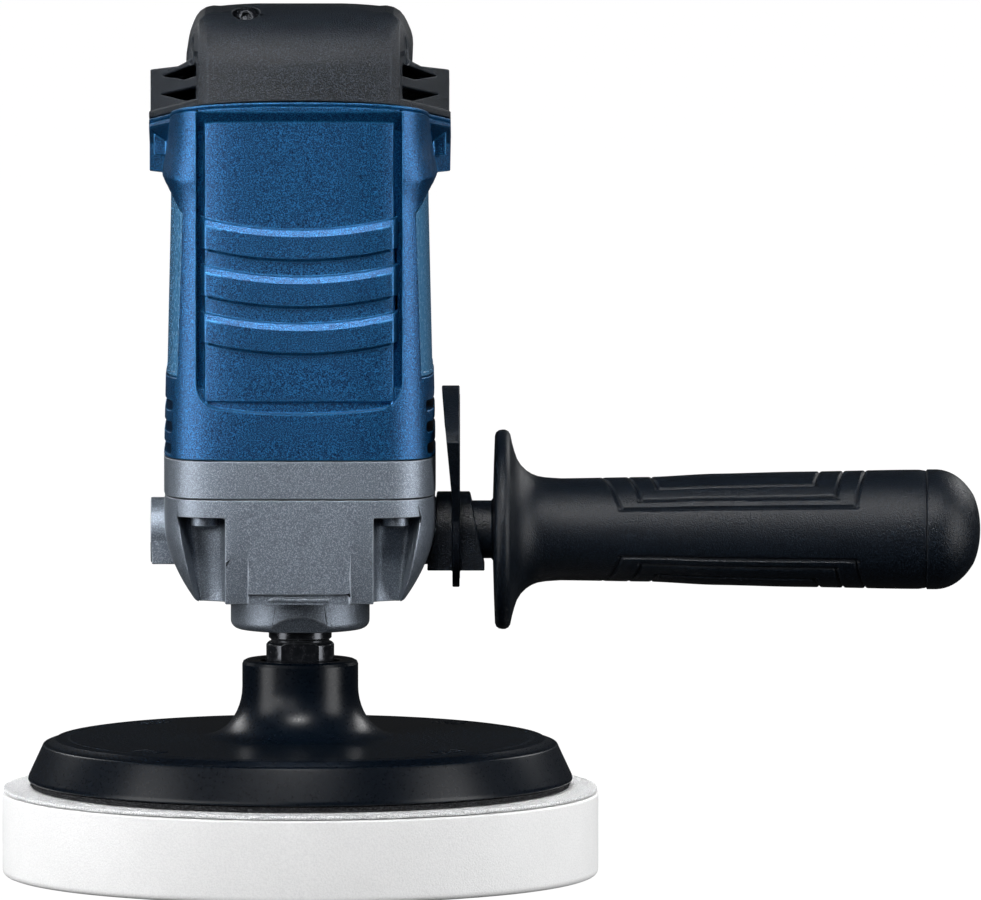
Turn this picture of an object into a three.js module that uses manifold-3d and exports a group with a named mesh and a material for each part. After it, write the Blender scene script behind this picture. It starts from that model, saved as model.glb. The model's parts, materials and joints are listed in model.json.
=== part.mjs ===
// Rotary polisher with a coaxial two-stage gearbox, a rear main handle, a side handle and a foam pad.
// Millimetres. Z up along the spindle, X towards the side handle, Y towards the rear handle.
// The origin is the middle of the foam pad's underside.
import * as THREE from 'three';
import { mergeVertices } from 'three/addons/utils/BufferGeometryUtils.js';
import Module from 'manifold-3d';

const wasm = await Module();
wasm.setup();

// ---- Driving dimensions ----
const GAP = 0.3; // play between pieces that meet
const WALL = 2.6; // thickness of the top cover and the shoulders
const REACH = 80; // half size of a cutting block that reaches past the whole casing

const pad = { radius: 90, foamTop: 25, loopTop: 26.5, loopRadius: 89.6, hookTop: 28.2, hookRadius: 82 };
const flare = { radius: 12.5, z: 57 }; // quarter-round between the plate's top and its hub
const insert = { radius: 12, low: 42, high: 60.5 };
const plate = { bottom: 28.5, edgeRadius: 82.2, rimRadius: 77.3, rimZ: 38.6, top: 41.4, hubRadius: 17.5,
    hubTop: 65.1 };
const spindleSize = { thread: 7, collar: 10.25, neck: 9.5, seat: 7.5, journal: 5, flats: 17 };
const collarZ = { low: 60.8, high: 70.6 };
const seatZ = 81;
const seal = { radius: 13, low: 77.7, high: 80.7 };
const lowerBearing = { radius: 17.5, low: 81.4, high: 91.7 };
const spindleBushRadius = 8;

const nose = { radius: 20.95, bottom: 74.6 };
const gearCase = { half: 40.7, bottom: 85.2, top: 116.7, bendZ: 95.5, bottomHalfX: 31 };
const flange = { half: 40.9, bottom: 117, top: 128.4 };
const boss = { radius: 9.75, end: 45, z: 104.4, bore: 5.3, depth: 12 };
const gearScrew = { x: 28.7, y: 31, ceiling: 111.2, shank: 2, head: 4 };

const body = { bottom: 128.7, waistZ: 203, bottomHalf: 40.9, topHalf: 39.2, wall: 4.4, rear: 44 };
const seam = { frontZ: 236.8, frontY: -40, slope: 0.17 };
const shoulder = { half: 45.4, frontY: -5, bottom: 209.6 };
const panel = { half: 31, bottom: 144, top: 233.4, round: 7.5, slope: 1.4, floor: 2.6 };
const raisedPanel = { half: 27.7, inset: 1.2, bottom: 146.2 };
const ribs = { count: 3, half: 29.6, topZ: 198, pitch: 14.1, height: 9.1, radius: 125 };
const seamBandHeight = 3.2;
const outlets = { count: 3, lowZ: 129.9, pitch: 6.5, height: 3.1, halfY: 31 };
const label = { frontY: -33, rearY: 28, bottom: 153, springZ: 203, recess: 1 };

const dome = { half: 34, faceHalf: 28, frontY: -39.4, top: 264.6, crownRadius: 144 };
const coverScrew = { at: [-16, -23.5, 262.4], tilt: 30, pocket: 4.15, depth: 5 };

const grip = { start: 44.3, end: 188, wall: 2.8 };
const triggerPivot = { y: 88, z: 210 };
const buttonAt = { y: 90, z: 218 };
const wheel = { y: 84, z: 236.2, radius: 11 };
const inletZ = 217;
const handleScrews = [{ y: 70, z: 214 }, { y: 164, z: 209 }];

const centres = 18; // distance between the spindle axis and the countershaft axis
const teeth = { armature: 8, intermediate: 28, countershaft: 9, spindle: 27 };
const secondStage = { low: 92.2, high: 101.2 };
const firstStage = { low: 106.2, high: 113.2 };
const bridge = { low: 102, high: 105.4 };

const motor = { low: 152, high: 190, statorRadius: 34.2, boreRadius: 22.6, coreRadius: 21.9, shaft: 6 };
const brushZ = { low: 201.5, high: 211.5 };

const degrees = (angle) => (angle * Math.PI) / 180;

// ---- Solids ----
function asSolid(shape) {
  if (!(shape instanceof THREE.BufferGeometry)) return shape;
  const bare = shape.clone();
  bare.deleteAttribute('normal');
  bare.deleteAttribute('uv');
  const merged = mergeVertices(bare, 1e-4);
  const corners = merged.index.array;
  const kept = [];
  for (let i = 0; i < corners.length; i += 3) {
    const [a, b, c] = [corners[i], corners[i + 1], corners[i + 2]];
    if (a !== b && b !== c && c !== a) kept.push(a, b, c);
  }
  const vertProperties = Float32Array.from(merged.attributes.position.array);
  const triVerts = Uint32Array.from(kept);
  return new wasm.Manifold(new wasm.Mesh({ numProp: 3, vertProperties, triVerts }));
}

function asGeometry(shape) {
  const mesh = asSolid(shape).getMesh();
  const geometry = new THREE.BufferGeometry();
  geometry.setAttribute('position', new THREE.BufferAttribute(mesh.vertProperties, 3));
  geometry.setIndex(new THREE.BufferAttribute(mesh.triVerts, 1));
  return geometry;
}

const join = (...shapes) => shapes.map(asSolid).reduce((a, b) => a.add(b));
const cut = (base, ...tools) => tools.map(asSolid).reduce((a, b) => a.subtract(b), asSolid(base));
const common = (...shapes) => shapes.map(asSolid).reduce((a, b) => a.intersect(b));

function box([x0, x1], [y0, y1], [z0, z1]) {
  const geometry = new THREE.BoxGeometry(x1 - x0, y1 - y0, z1 - z0);
  return geometry.translate((x0 + x1) / 2, (y0 + y1) / 2, (z0 + z1) / 2);
}

// A round bar between two places along an axis, at the other two coordinates in X, Y, Z order.
function rod(axis, from, to, radius, at = [0, 0], sides = 16) {
  const geometry = new THREE.CylinderGeometry(radius, radius, to - from, sides);
  const middle = (from + to) / 2;
  if (axis === 'x') return geometry.rotateZ(-Math.PI / 2).translate(middle, at[0], at[1]);
  if (axis === 'y') return geometry.translate(at[0], middle, at[1]);
  return geometry.rotateX(Math.PI / 2).translate(at[0], at[1], middle);
}

// A closed [radius, height] outline, counter-clockwise, turned about Z.
function turned(outline, sides = 24) {
  const points = outline.map(([r, z]) => new THREE.Vector2(r, z));
  points.push(points[0].clone());
  return new THREE.LatheGeometry(points, sides).rotateX(Math.PI / 2);
}

// The same outline turned about an axis parallel to X, with its height measured along X.
function turnedAlongX(outline, y, z, sides = 24) {
  return turned(outline, sides).rotateY(Math.PI / 2).translate(0, y, z);
}

function turnedAlongY(outline, x, z, sides = 20) {
  return turned(outline, sides).rotateX(-Math.PI / 2).translate(x, 0, z);
}

const tube = (inner, outer, low, high, sides) =>
  turned([[inner, low], [outer, low], [outer, high], [inner, high]], sides);

function outlineShape(points) {
  return new THREE.Shape(points.map(([a, b]) => new THREE.Vector2(a, b)));
}

function prism(shape, low, high, steps = 1) {
  const options = { depth: high - low, bevelEnabled: false, steps, curveSegments: 6 };
  return new THREE.ExtrudeGeometry(shape, options).translate(0, 0, low);
}

// A shape drawn in Y and Z, extruded along X.
function prismX(shape, low, high, steps = 1) {
  const turn = new THREE.Matrix4().set(0, 0, 1, 0, 1, 0, 0, 0, 0, 1, 0, 0, 0, 0, 0, 1);
  return prism(shape, low, high, steps).applyMatrix4(turn);
}

// A shape drawn in X and Z, extruded along Y.
function prismY(shape, low, high, steps = 1) {
  return prism(shape, -high, -low, steps).rotateX(Math.PI / 2);
}

function formed(geometry, move) {
  const place = geometry.attributes.position;
  const point = new THREE.Vector3();
  for (let i = 0; i < place.count; i += 1) {
    move(point.fromBufferAttribute(place, i));
    place.setXYZ(i, point.x, point.y, point.z);
  }
  return geometry;
}

// A square with bowed sides and soft corners: |x|^n + |y|^n = 1.
function softSquare(n = 5, count = 28) {
  const bow = (value) => Math.sign(value) * Math.abs(value) ** (2 / n);
  const points = [];
  for (let i = 0; i < count; i += 1) {
    const turn = (2 * Math.PI * i) / count;
    points.push([bow(Math.cos(turn)), bow(Math.sin(turn))]);
  }
  return outlineShape(points);
}

const scaledXY = (scaleX, scaleY) => (p) => {
  p.x *= scaleX(p.z);
  p.y *= scaleY(p.z);
};

const softBlock = (half, low, high) => formed(prism(softSquare(), low, high),
    scaledXY(() => half, () => half));
const ease = (t) => {
  const s = Math.min(Math.max(t, 0), 1);
  return s * s * (3 - 2 * s);
};
const mixed = (a, b, t) => a + (b - a) * t;

// ---- Materials ----
const paints = {
  blue: [0x1d5b96, 0.45, 0.1],
  black: [0x1d1e21, 0.7, 0],
  rubber: [0x141416, 0.85, 0],
  casting: [0x8d9199, 0.45, 0.8],
  steel: [0x6d7075, 0.35, 0.9],
  darkSteel: [0x33363a, 0.4, 0.8],
  bearing: [0xa9adb3, 0.25, 1],
  bronze: [0x9a7442, 0.4, 0.9],
  copper: [0xb06a3a, 0.35, 0.9],
  lamination: [0x55585c, 0.5, 0.8],
  brass: [0xb8934a, 0.35, 0.9],
  carbon: [0x2a2a2c, 0.8, 0.1],
  nylon: [0xd8d4c6, 0.6, 0],
  board: [0x1e5a34, 0.6, 0],
  amber: [0xb98a2c, 0.5, 0],
  felt: [0x8c8a84, 0.95, 0],
  foam: [0xf2f2f0, 0.95, 0],
  fleece: [0xe6e6e4, 1, 0],
  hook: [0x17171a, 1, 0],
  label: [0x174a7c, 0.3, 0],
};

const polisher = new THREE.Group();

function add(name, paint, shape, turnAboutZ = 0, at = [0, 0, 0]) {
  const [color, roughness, metalness] = paints[paint];
  const mesh = new THREE.Mesh(asGeometry(shape),
      new THREE.MeshStandardMaterial({ color, roughness, metalness }));
  mesh.name = name;
  mesh.rotation.z = turnAboutZ;
  mesh.position.set(...at);
  polisher.add(mesh);
}

// ---- Foam pad and backing plate ----
function addPad() {
  add('foam_pad', 'foam', rod('z', 0, pad.foamTop, pad.radius, [0, 0], 48));
  add('foam_loop_backing', 'fleece', rod('z', pad.foamTop + GAP, pad.loopTop, pad.loopRadius, [0, 0], 48));
  add('hook_layer', 'hook', rod('z', pad.loopTop + GAP, pad.hookTop, pad.hookRadius, [0, 0], 48));
}

// Side of the plate, rim, top, then a quarter-round flare up to the hub.
function plateOutline() {
  const outline = [[0, plate.bottom], [plate.edgeRadius, plate.bottom],
      [plate.rimRadius + 0.4, plate.rimZ]];
  outline.push([plate.rimRadius, plate.rimZ + 1.6], [plate.rimRadius - 1.6, plate.top]);
  for (let i = 0; i <= 4; i += 1) {
    const turn = (i / 4) * (Math.PI / 2);
    const out = plate.hubRadius + flare.radius * (1 - Math.sin(turn));
    outline.push([out, flare.z - (flare.z - plate.top - 0.4) * Math.cos(turn)]);
  }
  outline.push([plate.hubRadius, plate.hubTop - 1], [plate.hubRadius - 1, plate.hubTop]);
  outline.push([insert.radius + GAP, plate.hubTop], [insert.radius + GAP, insert.low - GAP],
      [0, insert.low - GAP]);
  return outline;
}

function addBackingPlate() {
  add('backing_plate', 'black', turned(plateOutline(), 40));
  const bore = spindleSize.thread + GAP;
  add('plate_thread_insert', 'steel', tube(bore, insert.radius, insert.low, insert.high, 16));
}

// ---- Spindle ----
function addSpindle() {
  const s = spindleSize;
  const tip = insert.low + 0.6;
  const outline = [[0, tip], [s.thread - 1, tip], [s.thread, tip + 1], [s.thread, collarZ.low],
      [s.collar, collarZ.low]];
  outline.push([s.collar, collarZ.high - 0.6], [s.collar - 0.6, collarZ.high], [s.neck, collarZ.high]);
  outline.push([s.neck, seatZ], [s.seat, seatZ], [s.seat, secondStage.high], [s.journal, secondStage.high]);
  outline.push([s.journal, bridge.high + GAP], [0, bridge.high + GAP]);
  const flatTool = (side) => {
    const depth = side > 0 ? [s.flats / 2, REACH] : [-REACH, -s.flats / 2];
    return box([-REACH, REACH], depth, [collarZ.low - 1, collarZ.high]);
  };
  add('spindle', 'darkSteel', cut(turned(outline, 20), flatTool(1), flatTool(-1)));
  add('spindle_seal', 'felt', tube(s.neck + GAP, seal.radius, seal.low, seal.high, 16));
  const bearingRing = tube(s.seat + GAP, lowerBearing.radius, lowerBearing.low, lowerBearing.high, 24);
  add('spindle_bearing_lower', 'bearing', bearingRing);
  add('spindle_bush_upper', 'bronze',
      tube(s.journal + GAP, spindleBushRadius, bridge.low, bridge.high, 16));
}

// ---- Gears: involute teeth of module 1, pressure angle 20 degrees, with profile shift ----
const MODULE = 1;
const PRESSURE = degrees(20);
const BACKLASH = 0.42; // taken off each tooth's thickness
const SHIFT = 0.5; // added to the pinions and taken from the wheels
const ADDENDUM = 0.7; // height of a tooth above the pitch circle
const DEDENDUM = 1.2;

const involute = (angle) => Math.tan(angle) - angle;

// Half of the angle that a tooth fills at a radius.
function toothHalfAngle(count, shift, radius) {
  const pitchRadius = (MODULE * count) / 2;
  const baseRadius = pitchRadius * Math.cos(PRESSURE);
  const thickness = MODULE * (Math.PI / 2 + 2 * shift * Math.tan(PRESSURE)) - BACKLASH;
  const pressure = Math.acos(Math.min(1, baseRadius / radius));
  return thickness / (2 * pitchRadius) + involute(PRESSURE) - involute(pressure);
}

// The first tooth points along +X.
function gearOutline(count, shift, flankPoints) {
  const pitchRadius = (MODULE * count) / 2;
  const root = pitchRadius + MODULE * (shift - DEDENDUM);
  const tip = pitchRadius + MODULE * (shift + ADDENDUM);
  const start = Math.max(root, pitchRadius * Math.cos(PRESSURE) + 0.01);
  const radii = Array.from({ length: flankPoints },
      (unused, i) => mixed(start, tip, i / (flankPoints - 1)));
  const points = [];
  for (let i = 0; i < count; i += 1) {
    const middle = (2 * Math.PI * i) / count;
    const place = (radius, angle) => points.push([radius * Math.cos(angle), radius * Math.sin(angle)]);
    if (root < start) place(root, middle - toothHalfAngle(count, shift, start));
    radii.forEach((radius) => place(radius, middle - toothHalfAngle(count, shift, radius)));
    [...radii].reverse().forEach((radius) => place(radius, middle + toothHalfAngle(count, shift, radius)));
    if (root < start) place(root, middle + toothHalfAngle(count, shift, start));
  }
  return outlineShape(points);
}

const towardRear = Math.PI / 2;
const gapTowardFront = (count) => -Math.PI / 2 + Math.PI / count;
const shaftSize = { journal: 5, middle: 4.5, top: 3.5, shoulder: 101.4, end: 120.4 };
const shaftBushes = [
  { name: 'countershaft_bush_lower', bore: 4.8, radius: 6.6, low: bridge.low, high: bridge.high },
  { name: 'countershaft_bush_upper', bore: 3.8, radius: 5.6, low: 117.3, high: 120.7 },
];

function bearingBridge() {
  const aroundSpindle = rod('z', bridge.low, bridge.high, 16.7, [0, 0], 24);
  const aroundShaft = rod('z', bridge.low, bridge.high, 17.2, [0, centres], 24);
  const spindleHole = rod('z', 100, 108, spindleBushRadius + GAP);
  const shaftHole = rod('z', 100, 108, shaftBushes[0].radius + GAP, [0, centres]);
  return cut(join(aroundSpindle, aroundShaft), spindleHole, shaftHole);
}

function addGears() {
  const spindleBore = spindleSize.seat + GAP;
  const spindleWheel = prism(gearOutline(teeth.spindle, -SHIFT, 2), secondStage.low, secondStage.high);
  const boreTool = (radius) => rod('z', 80, 130, radius);
  add('spindle_gear', 'steel', cut(spindleWheel, boreTool(spindleBore)), towardRear);

  const firstWheel = prism(gearOutline(teeth.intermediate, -SHIFT, 2), firstStage.low, firstStage.high);
  const wheelTurn = gapTowardFront(teeth.intermediate);
  add('intermediate_gear', 'steel', cut(firstWheel, boreTool(shaftSize.journal + GAP)), wheelTurn,
      [0, centres, 0]);

  const pinion = prism(gearOutline(teeth.countershaft, SHIFT, 3), secondStage.low, secondStage.high + 0.4);
  const s = shaftSize;
  const outline = [[0, s.shoulder], [s.middle, s.shoulder], [s.middle, bridge.high + 0.4],
      [s.journal, bridge.high + 0.4]];
  outline.push([s.journal, firstStage.high + 0.4], [s.top, firstStage.high + 0.4], [s.top, s.end],
      [0, s.end]);
  const pinionTurn = gapTowardFront(teeth.countershaft);
  add('countershaft', 'darkSteel', join(pinion, turned(outline, 12)), pinionTurn, [0, centres, 0]);

  shaftBushes.forEach(({ name, bore, radius, low, high }) => {
    add(name, 'bronze', tube(bore, radius, low, high, 16), 0, [0, centres, 0]);
  });
  add('bearing_bridge', 'casting', bearingBridge());
}

// ---- Gear housing ----
// The sides draw in towards the bottom, on a quarter of an ellipse.
function caseSideScale(z) {
  if (z >= gearCase.bendZ) return 1;
  const down = Math.min(1, (gearCase.bendZ - z) / (gearCase.bendZ - gearCase.bottom));
  const drawn = 1 - Math.sqrt(1 - down * down * 0.985);
  return mixed(1, gearCase.bottomHalfX / gearCase.half, drawn / (1 - Math.sqrt(0.015)));
}

function caseBlock() {
  const upper = softBlock(gearCase.half, gearCase.bendZ, gearCase.top);
  const lower = formed(
    prism(softSquare(), gearCase.bottom, gearCase.bendZ, 3),
    scaledXY((z) => gearCase.half * caseSideScale(z), () => gearCase.half),
  );
  return join(upper, lower);
}

// A pocket in a corner, open to the front or rear and downward, with a slanted outer wall.
function screwPocket(sideX, sideY) {
  const low = gearCase.bottom - 5;
  const plan = outlineShape([[22.3, 50], [22.3, 30], [24, 27.3], [27, 26.4], [31, 26.4], [34, 28.5],
      [35.6, 32], [37.4, 50]]);
  const pocket = formed(prism(plan, low, gearScrew.ceiling), (p) => {
    const drop = gearScrew.ceiling - p.z;
    if (p.x > 29) p.x = Math.max(28.6, p.x - drop * 0.235);
  });
  return mirrored(pocket, sideX, sideY);
}

function mirrored(shape, sideX, sideY) {
  let solid = asSolid(shape);
  if (sideX < 0) solid = solid.mirror([1, 0, 0]);
  if (sideY < 0) solid = solid.mirror([0, 1, 0]);
  return solid;
}

const corners = [[-1, -1, 'front_left'], [1, -1, 'front_right'], [-1, 1, 'rear_left'],
    [1, 1, 'rear_right']];
const screwPlace = ([sideX, sideY]) => [sideX * gearScrew.x, sideY * gearScrew.y];
const screwHoles = (low, high) => corners.map((c) => rod('z', low, high, gearScrew.shank + GAP,
    screwPlace(c), 8));

function noseOutline() {
  return [
    [10.6, nose.bottom], [nose.radius - 3, nose.bottom], [nose.radius - 1, nose.bottom + 0.9],
    [nose.radius, nose.bottom + 3], [nose.radius, 88], [10.6, 88],
  ];
}

// The front stands a little proud and draws back at the bottom.
function frontStep() {
  const low = gearCase.bottom - 1;
  return join(box([-21, -15], [-50, -39.8], [low, 95]), box([15, 21], [-50, -39.8], [low, 95]));
}

function addGearHousing() {
  const bosses = rod('x', -boss.end, boss.end, boss.radius, [0, boss.z], 24);
  const outside = join(caseBlock(), bosses, turned(noseOutline(), 24));
  const room = join(
    rod('z', 92, 120, 17, [0, 0], 24),
    rod('z', 92, 120, 17.5, [0, centres], 24),
    rod('z', 81.1, 93, 17.8, [0, 0], 24),
    rod('z', 77.4, 82, 13.3),
    rod('z', 70, 82, 10.6),
  );
  const bores = [-1, 1].map((side) => {
    const ends = [boss.end - boss.depth, boss.end + 1];
    return side > 0 ? rod('x', ends[0], ends[1], boss.bore, [0, boss.z]) : rod('x', -ends[1], -ends[0],
        boss.bore, [0, boss.z]);
  });
  const pockets = corners.map(([sideX, sideY]) => screwPocket(sideX, sideY));
  const holes = screwHoles(105, 120);
  add('gear_housing', 'casting', cut(outside, room, frontStep(), ...bores, ...pockets, ...holes));
}

function addIntermediateFlange() {
  const block = softBlock(flange.half, flange.bottom, flange.top);
  const holes = screwHoles(110, 130);
  const shaftHole = rod('z', 110, 130, 7);
  const bearingSeat = rod('z', 122, 130, 12.3);
  const bushSeat = rod('z', 116, 121, 5.9, [0, centres]);
  const wheelRoom = rod('z', 116, 117.6, 7.5, [0, centres]);
  add('intermediate_flange', 'casting', cut(block, shaftHole, bearingSeat, bushSeat, wheelRoom, ...holes));
}

function addGearScrews() {
  corners.forEach((corner) => {
    const top = gearScrew.ceiling - GAP;
    const head = rod('z', top - 3.2, top, gearScrew.head, screwPlace(corner), 12);
    const shank = rod('z', top - 1, 146, gearScrew.shank, screwPlace(corner), 8);
    const socket = rod('z', top - 4, top - 1.6, 1.7, screwPlace(corner), 6);
    add(`gear_screw_${corner[2]}`, 'darkSteel', cut(join(head, shank), socket));
  });
}

// ---- Motor housing ----
const bodyHalf = (z) => mixed(body.bottomHalf, body.topHalf,
    Math.min(1, (z - body.bottom) / (body.waistZ - body.bottom)));

function bodyBlock(inset, low, high) {
  const size = (z) => bodyHalf(z) - inset;
  return formed(prism(softSquare(), low, high, 2), scaledXY(size, size));
}

const seamZ = (y) => seam.frontZ - seam.slope * (y - seam.frontY);

// Everything between two heights above the sloping seam.
function besideSeam(low, high) {
  return formed(box([-REACH, REACH], [-REACH, REACH], [low, high]), (p) => {
    p.z += seamZ(p.y);
  });
}

const aboveSeam = (offset) => besideSeam(offset, 90);
const belowSeam = (offset) => besideSeam(-150, offset);

// Plan of the shoulders: the flat front, slanted corners, then straight sides back to the handle.
function shoulderPlan(inset) {
  const [side, front] = [shoulder.half - inset, dome.frontY + inset];
  const halfPlan = [[dome.faceHalf + 3 - inset / 2, front], [side, shoulder.frontY + inset / 2],
      [side, body.rear - inset]];
  return outlineShape([...halfPlan, ...[...halfPlan].reverse().map(([x, y]) => [-x, y])]);
}

function shoulders(inset, low) {
  const rearPart = box([-80, 80], [shoulder.frontY - 14 + inset, 80], [low + inset, 300]);
  return common(prism(shoulderPlan(inset), low, 245), rearPart);
}

function seamBand() {
  return common(prism(shoulderPlan(0), 215, 245), cut(belowSeam(0), belowSeam(-seamBandHeight)));
}

function frontPanelRecess() {
  const shape = new THREE.Shape();
  const { half, bottom: low, top: high, round } = panel;
  shape.moveTo(-half, high);
  shape.lineTo(-half, low + round);
  shape.quadraticCurveTo(-half, low, -half + round, low);
  shape.lineTo(half - round, low);
  shape.quadraticCurveTo(half, low, half, low + round);
  shape.lineTo(half, high);
  const slanted = formed(prismY(shape, -60, -20), (p) => {
    if (p.z > high - 1) p.z += (-body.topHalf - p.y) * panel.slope;
  });
  const raised = box([-raisedPanel.half, raisedPanel.half], [-60, 0], [raisedPanel.bottom, 240]);
  const floor = join(bodyBlock(panel.floor, 140, 240),
      common(raised, bodyBlock(raisedPanel.inset, 140, 240)));
  return cut(slanted, floor);
}

// Ribs that hang like a smile across the front panel.
function frontRib(index) {
  const top = ribs.topZ - index * ribs.pitch;
  const sag = (x) => ribs.radius - Math.sqrt(ribs.radius ** 2 - x * x);
  const across = [-1, -0.5, 0, 0.5, 1].map((t) => t * ribs.half);
  const lower = across.map((x) => [x, top - ribs.height + sag(x)]);
  const upper = across.map((x) => [x, top + sag(x)]).reverse();
  const band = prismY(outlineShape([...lower, ...upper]), -60, -20);
  const layer = cut(bodyBlock(0.1, 140, 240), bodyBlock(3, 135, 245));
  return common(band, layer);
}

function sideArch(inset) {
  const shape = new THREE.Shape();
  const [front, rear] = [label.frontY + inset, label.rearY - inset];
  shape.moveTo(front, label.bottom + inset);
  shape.lineTo(rear, label.bottom + inset);
  shape.lineTo(rear, label.springZ - inset);
  shape.quadraticCurveTo((front + rear) / 2, label.springZ + 22 - inset, front, label.springZ - inset);
  return shape;
}

const sideRange = (side) => (side > 0 ? [25, 60] : [-60, -25]);

function sideBand(side, inset, outer, inner) {
  const band = cut(bodyBlock(outer, 145, 225), bodyBlock(inner, 140, 230));
  return common(prismX(sideArch(inset), ...sideRange(side)), band);
}

function addSideLabels() {
  [[-1, 'side_label_left'], [1, 'side_label_right']].forEach(([side, name]) => {
    add(name, 'label', sideBand(side, GAP + 0.2, 0.35, label.recess - GAP));
  });
}

function outletSlots() {
  const slots = [];
  for (let i = 0; i < outlets.count; i += 1) {
    const low = outlets.lowZ + i * outlets.pitch;
    const reach = [-outlets.halfY, outlets.halfY];
    slots.push(box([33.5, 60], reach, [low, low + outlets.height]),
        box([-60, -33.5], reach, [low, low + outlets.height]));
  }
  return slots;
}

const upperBearing = { low: 219.5, high: 226.5 };

function bearingSpider() {
  const ring = tube(11.3, 14.5, upperBearing.low - 1.5, upperBearing.high, 20);
  const floor = tube(6.5, 12, upperBearing.low - 1.5, upperBearing.low - GAP, 16);
  const arm = (side) => {
    const reach = side > 0 ? [13, 44] : [-44, -13];
    return box(reach, [-5, 5], [upperBearing.low - 1.5, upperBearing.high - 1]);
  };
  return join(ring, floor, arm(1), arm(-1));
}

function addMotorHousing() {
  const outside = join(bodyBlock(0, body.bottom, 240), shoulders(0, shoulder.bottom), seamBand());
  const inside = join(bodyBlock(body.wall, body.bottom - 1, 250), shoulders(WALL, shoulder.bottom));
  const wireHole = box([-12, 12], [30, 60], [212, 219]);
  const recesses = [-1, 1].map((side) => sideBand(side, 0, -1, label.recess));
  const shell = cut(outside, inside, wireHole, frontPanelRecess(), ...recesses, ...outletSlots());
  const ribSolids = Array.from({ length: ribs.count }, (unused, i) => frontRib(i));
  const pillars = corners.map((c) => rod('z', body.bottom, 150, 4.6, screwPlace(c), 10));
  const filled = join(shell, bearingSpider(), ...ribSolids, ...pillars);
  add('motor_housing', 'blue', cut(filled, aboveSeam(-GAP / 2), ...screwHoles(120, 147)));
}

// ---- Top cover ----
function domeFront(inset) {
  const top = dome.top - inset;
  const side = dome.half - inset;
  const crown = (x) => top - (dome.crownRadius - Math.sqrt(dome.crownRadius ** 2 - x * x));
  const right = [[side - 0.3, 200], [side - 0.3, 246], [side, 249], [side - 0.6, 252.2], [side - 1.8, 256]];
  right.push([side - 3.4, 259.6 - inset / 2], [side - 5.6, 261.7 - inset / 2], [side - 10, crown(24)],
      [12, crown(12)]);
  const left = [...right].reverse().map(([x, z]) => [-x, z]);
  return outlineShape([...right, [0, top], ...left]);
}

function domeSide(inset) {
  const front = dome.frontY + inset;
  const profile = new THREE.Shape();
  profile.moveTo(front, 200);
  profile.lineTo(front, 247);
  profile.quadraticCurveTo(front + 1.2, 262.6 - inset, -14, dome.top - 0.3 - inset);
  profile.quadraticCurveTo(6, dome.top + 0.6 - inset, body.rear - inset, 251.5 - inset);
  profile.lineTo(body.rear - inset, 200);
  return profile;
}

function domePlan(inset) {
  const side = dome.half - inset;
  const front = dome.frontY + inset;
  const rear = body.rear - inset;
  const half = [[dome.faceHalf - inset / 2, front], [dome.faceHalf + 3 - inset / 2, front + 3],
      [side, -22], [side, rear]];
  return outlineShape([...half, ...[...half].reverse().map(([x, y]) => [-x, y])]);
}

function domeBlock(inset) {
  return common(prismY(domeFront(inset), -80, 80), prismX(domeSide(inset), -80, 80),
      prism(domePlan(inset), 200, 300));
}

function coverShoulders(inset) {
  const side = shoulder.half - inset;
  const top = [[side, 241.4 - inset], [41.6, 242.3 - inset], [dome.half - 1, 245.6 - inset]];
  const outline = [[side, 200], ...top, ...[...top].reverse().map(([x, z]) => [-x, z]), [-side, 200]];
  return common(prismY(outlineShape(outline), -80, 80), prism(shoulderPlan(inset), 200, 300));
}

// Two sloping louvre openings in the slanted front of a shoulder.
function louvres(side) {
  const openings = [[237.8, 241.2], [242.6, 245.2]].map(([low, high]) => {
    const reach = side > 0 ? [32.2, 42] : [-42, -32.2];
    return formed(box(reach, [-50, -6], [low, high]), (p) => {
      p.z -= (p.y + 36) * 0.23;
    });
  });
  return join(...openings);
}

// A bar along the cover screw's tilted axis, between two depths below the dome's surface.
function coverScrewRod(from, to, radius, sides) {
  const bar = rod('y', from, to, radius, [0, 0], sides);
  return bar.rotateX(-degrees(coverScrew.tilt)).translate(...coverScrew.at);
}

function addTopCover() {
  const outside = join(domeBlock(0), coverShoulders(0));
  const inside = join(domeBlock(WALL), coverShoulders(WALL));
  const floor = coverScrew.depth;
  const socketWall = common(coverScrewRod(-20, floor + 6, coverScrew.pocket + 2, 16), outside);
  const pocket = coverScrewRod(-20, floor, coverScrew.pocket, 16);
  const hole = coverScrewRod(0, floor + 20, 2.3, 10);
  const wireHole = box([-12, 12], [30, 60], [226, 238]);
  const walled = join(cut(outside, inside), socketWall);
  const shell = cut(walled, pocket, hole, wireHole, louvres(1), louvres(-1), belowSeam(GAP / 2));
  add('top_cover', 'black', shell);
  const head = coverScrewRod(floor - 3.3, floor - GAP, 3.6, 12);
  const shank = coverScrewRod(floor - 1, floor + 13, 2, 8);
  add('cover_screw', 'darkSteel', cut(join(head, shank), coverScrewRod(floor - 5, floor - 1.8, 1.6, 6)));
}

// ---- Main handle ----
// Half width, middle height and half height of the handle along its length.
function gripSize(y) {
  const toGrip = ease((y - grip.start) / 34);
  const toEnd = ease((y - 120) / (grip.end - 120));
  return {
    halfX: mixed(mixed(36, 20.5, toGrip), 18.5, toEnd),
    middle: mixed(mixed(230, 223, toGrip), inletZ, toEnd),
    halfZ: mixed(mixed(20.5, 20, toGrip), 18, toEnd),
  };
}

function gripBlock(inset, from, to, steps) {
  return formed(prismY(softSquare(3, 16), from, to, steps), (p) => {
    const size = gripSize(p.y);
    p.x *= size.halfX - inset;
    p.z = size.middle + p.z * (size.halfZ - inset);
  });
}

function halfOf(side) {
  return side > 0 ? box([GAP / 2, 60], [0, 260], [150, 300]) : box([-60, -GAP / 2], [0, 260], [150, 300]);
}

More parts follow.
